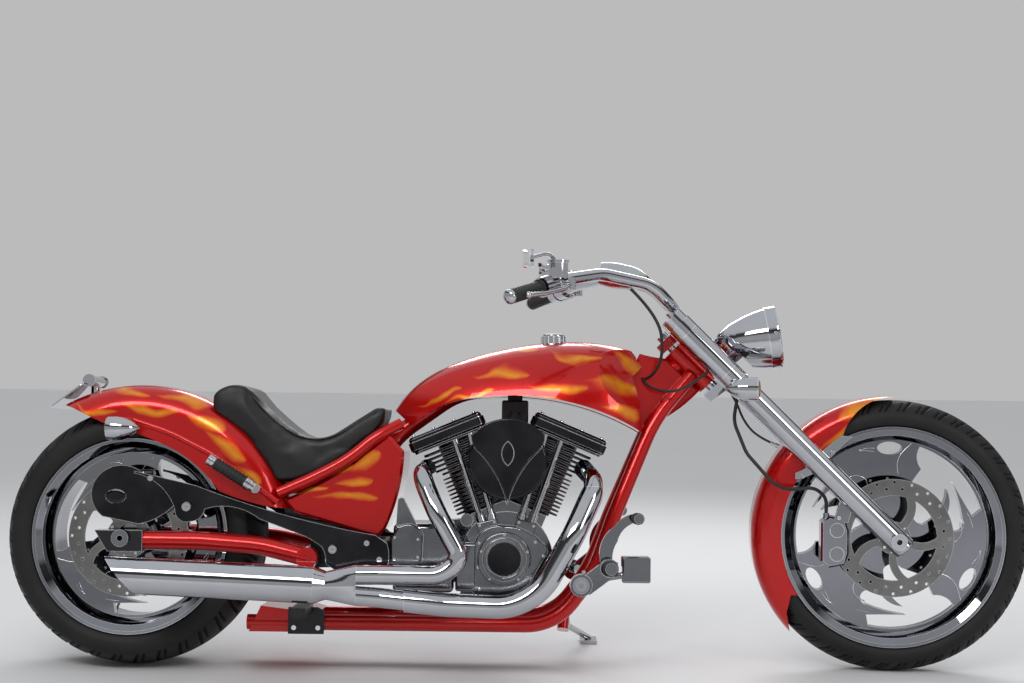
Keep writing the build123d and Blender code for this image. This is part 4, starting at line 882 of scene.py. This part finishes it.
def make_caliper_cap():
    """A plain domed cap over the rear caliper plate's oval window."""
    angles = [2 * pi * n / CAP_STEPS for n in range(CAP_STEPS)]
    rings = []
    for out, wide, tall in CAP_RINGS:
        rings.append([v(-28 + wide * cos(angle), out, 428 + tall * sin(angle)) for angle in angles])
    shape = Shape()
    shape.rings(rings)
    piece("caliper_cap", shape, "dark_plate", "root", UPRIGHT)


# Lines cut into the wheel discs
# x and z from the axle, in millimetres of the front disc
DISC_LINES = (
    ((19, 158), (15, 176), (17, 196), (28, 216), (52, 238)),
    ((129, -4), (140, -15), (158, -17), (174, -6), (182, 12), (181, 34)),
    ((194, 62), (203, 46), (209, 24)),
    ((-42, 224), (-62, 226), (-88, 214), (-66, 219), (-44, 215)),
)
DISC_REPEATS = 3
FRONT_DISC_FACES = (-11, 11)
REAR_DISC_FACES = (-60, -38)
REAR_DISC_SHARE = 211 / 251


def make_disc_lines(name, body, centre, faces, size, matrix):
    """Bright lines on both faces of a wheel's disc, repeated round it."""
    data = tube_data(name, 2.2, 2, 8)
    for y in faces:
        for repeat in range(DISC_REPEATS):
            angle = 2 * pi * repeat / DISC_REPEATS
            for points in DISC_LINES:
                places = []
                for x, z in points:
                    ahead, up = x * cos(angle) + z * sin(angle), z * cos(angle) - x * sin(angle)
                    places.append(matrix @ (centre + v(ahead * size, y, up * size)))
                add_line(data, places)
    data.materials.append(ENGRAVED)
    placed(name, data, body)


# Rubber on the pegs
def make_pegs():
    """Ribbed rubber on the passenger pegs, the foot pegs and the pedal pads."""
    rubber = Shape()
    foot, tip = v(318, -172, 454), v(205, -178, 524)
    way = tip - foot
    length = way.length * 1000
    profile = [(26, 12)] + ribs(27, (length - 44) / 9, 9, 14.2, 15.6, 1, 6) + [(length - 15.5, 12)]
    rubber.lathe(foot, way, profile, 28)
    start, end = v(1196, -268, 273), v(1196, -340, 276)
    rubber.lathe(start, end - start, [(2, 14)] + ribs(3, 11, 6, 15.6, 17.6, 1, 7) + [(68, 14)], 28)
    pad_start, pad_end = v(1262, -244, 392), v(1262, -318, 394)
    profile = [(2, 11)] + ribs(3, 11, 6, 12.4, 14, 1, 7) + [(71, 11)]
    rubber.lathe(pad_start, pad_end - pad_start, profile, 24)
    rubber.mirrored()
    piece("peg_rubbers", rubber, "grip_rubber", "root", UPRIGHT)


# Exhaust
# in metres, and the two ends of the silencer's middle line in millimetres
SILENCER_TAIL, SILENCER_FRONT = v(-40, -280, 247), v(486, -280, 226)
SILENCER_INSIDE = 0.0421
SILENCER_STEPS = 48
CUT_X, CUT_Z = -0.026, 0.300   # a place on the slash cut
CUT_RUN = 96 / 110             # how far forward the cut runs for each metre down
CUT_GAP = 0.004
# how deep the near-black soot and painted shade reach into the silencer
SOOT_AND_SHADE_DEPTH = 0.30


def make_soot_and_shade():
    """The inside of the silencer, from just inside its slash-cut mouth to a flat end, in near-black soot
    that also paints in the shade deep in the pipe.
    """
    along = (SILENCER_FRONT - SILENCER_TAIL).normalized()
    first, last = [], []
    for step in range(SILENCER_STEPS):
        angle = 2 * pi * step / SILENCER_STEPS
        start = SILENCER_TAIL + Vector((0, cos(angle), sin(angle))) * SILENCER_INSIDE
        cut = CUT_X + (CUT_Z - start.z) * CUT_RUN + CUT_GAP
        first.append(start + along * max(0.0, cut - start.x))
        last.append(start + along * SOOT_AND_SHADE_DEPTH)
    shape = Shape()
    shape.rings([first, last], False)
    shape.add(last, [tuple(range(SILENCER_STEPS))])
    piece("silencer_inside", shape, "chrome", "root", UPRIGHT, SOOT_AND_SHADE)


# Cables and plug leads
def bent_cable(name, frame_points, fork_points, diameter):
    """A cable from points set in the frame to points set in the fork as turned at rest, made into one still
    mesh that is on no body.
    """
    places = [UPRIGHT @ v(*point) for point in frame_points] + [TURNED @ v(*point) for point in fork_points]
    data = tube_data(name + "_line", diameter)
    add_line(data, places)
    drawn = bpy.data.objects.new(name + "_line", data)
    bpy.context.collection.objects.link(drawn)
    graph = bpy.context.evaluated_depsgraph_get()
    mesh = bpy.data.meshes.new_from_object(drawn.evaluated_get(graph))
    bpy.data.objects.remove(drawn)
    mesh.materials.clear()
    mesh.materials.append(MATERIALS["hose_rubber"])
    mesh.shade_smooth()
    thing = bpy.data.objects.new(name, mesh)
    bpy.context.collection.objects.link(thing)
    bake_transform(thing)
    return thing


def make_bent_cables():
    upper = bent_cable("control_cable_run", ((1300, -24, 742), (1318, -56, 748), (1340, -96, 800)),
                       ((1335, -112, 905), (1262, -122, 975)), 8)
    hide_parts("control_cables")
    bent_cable("neck_cable_loop", ((1292, -25, 744), (1300, -60, 722), (1345, -92, 706)),
               ((1405, -108, 722), (1466, -104, 772)), 7)


def make_cables():
    cable("second_brake_hose", ((1500, -70, 740), (1530, -84, 700), (1552, -90, 640), (1590, -92, 600),
                                (1640, -94, 580)), 6, "hose_rubber", "fork", TURNED)
    for side, end in ((-1, "rear"), (1, "front")):
        points = ((964 + 10 * side, -56, 650), (960 + 14 * side, -78, 640), (950 + 40 * side, -100, 606),
                  (946 + 78 * side, -106, 574), (946 + 98 * side, -92, 556), (946 + 104 * side, -74, 545))
        cable(f"plug_lead_{end}", points, 7.5, "hose_rubber", "root", UPRIGHT)
    clips = Shape()
    for place, way in ((v(1500, -70, 740), (30, -14, -40)), (v(1640, -94, 580), (-50, 2, 20))):
        clips.lathe(place, way, ((-2, 6), (10, 6), (11, 4.5), (22, 4.5), (23, 3.4)), 16)
    piece("hose_fittings", clips, "chrome", "fork", TURNED)


make_tyres()
make_seat()
make_grips()
make_mirror_glass()
make_lenses()
make_rear_lamps()
make_cam_face()
make_caliper_cap()
make_disc_lines("front_disc_lines", "front_wheel", FRONT_AXLE, FRONT_DISC_FACES, 1.0, TURNED)
make_disc_lines("rear_disc_lines", "rear_wheel", REAR_AXLE, REAR_DISC_FACES, REAR_DISC_SHARE, UPRIGHT)
make_screws()
make_pegs()
make_soot_and_shade()
make_cables()
make_bent_cables()


# Stage, light and camera
# The camera is placed in metres from the point under the rear axle.
CAMERA_BACK = 3.970
CAMERA_X = 0.9539
CAMERA_HEIGHT = 0.835
CAMERA_ROLL = 0.012        # in radians
FOCAL_PIXELS = 1544
PHOTO_WIDTH = 1024


def stage_material(name, colour, rough):
    material, tree, shader = new_material(name)
    darker = tuple(0.97 * c for c in colour)
    tree.links.new(ramp_of(tree, noise_of(tree, position(tree), 1.2, 4), (0.2, darker), (0.8, colour)),
                   shader.inputs["Base Color"])
    shader.inputs["Roughness"].default_value = rough
    return material


def make_stage():
    bpy.ops.mesh.primitive_plane_add(size=40, location=(0, 0, 0))
    floor = bpy.context.object
    floor.name = "floor"
    floor.data.materials.append(stage_material("floor_pale", (0.76, 0.76, 0.77), 0.6))


def make_world():
    world = bpy.data.worlds.new("studio")
    bpy.context.scene.world = world
    world.use_nodes = True
    tree = world.node_tree
    back = tree.nodes["Background"]
    coord = tree.nodes.new("ShaderNodeTexCoord")
    split = tree.nodes.new("ShaderNodeSeparateXYZ")
    tree.links.new(coord.outputs["Generated"], split.inputs["Vector"])
    # by the height of the ray: pale at the horizon, a dark band above it and bright overhead
    sky = ramp_of(tree, split.outputs["Z"], (0.0, 0.62), (0.24, 0.62), (0.32, 0.10), (0.48, 0.06),
                  (0.60, 0.90), (1.0, (0.92, 0.96, 1.0)))
    tree.links.new(sky, back.inputs["Color"])
    back.inputs["Strength"].default_value = 0.80


def lamp(name, place, aim, size, power, colour=(1, 1, 1)):
    data = bpy.data.lights.new(name, "AREA")
    data.shape = "RECTANGLE"
    data.size, data.size_y = size
    data.energy = power
    data.color = colour
    thing = bpy.data.objects.new(name, data)
    thing.location = place
    thing.rotation_euler = (Vector(aim) - Vector(place)).to_track_quat("-Z", "Y").to_euler()
    bpy.context.collection.objects.link(thing)


def make_light():
    lamp("key", (-1.2, -3.4, 3.0), (0, 0, 0.5), (2.8, 0.9), 70)
    lamp("fill", (2.6, -2.6, 1.9), (0.3, 0, 0.4), (0.8, 1.6), 22)
    lamp("rim", (0.4, 3.0, 2.8), (0, 0, 0.6), (3.2, 1.0), 60)


def make_camera():
    data = bpy.data.cameras.new("camera")
    data.sensor_width = 36
    data.lens = FOCAL_PIXELS / PHOTO_WIDTH * data.sensor_width
    camera = bpy.data.objects.new("camera", data)
    origin = UPRIGHT @ Vector((0, 0, 0))
    camera.location = (origin.x + CAMERA_X, origin.y - CAMERA_BACK, origin.z + CAMERA_HEIGHT)
    camera.rotation_euler = (pi / 2, -CAMERA_ROLL, 0)
    bpy.context.collection.objects.link(camera)
    bpy.context.scene.camera = camera


make_stage()
make_world()
make_light()
make_camera()
bpy.context.scene.view_settings.view_transform = "Standard"
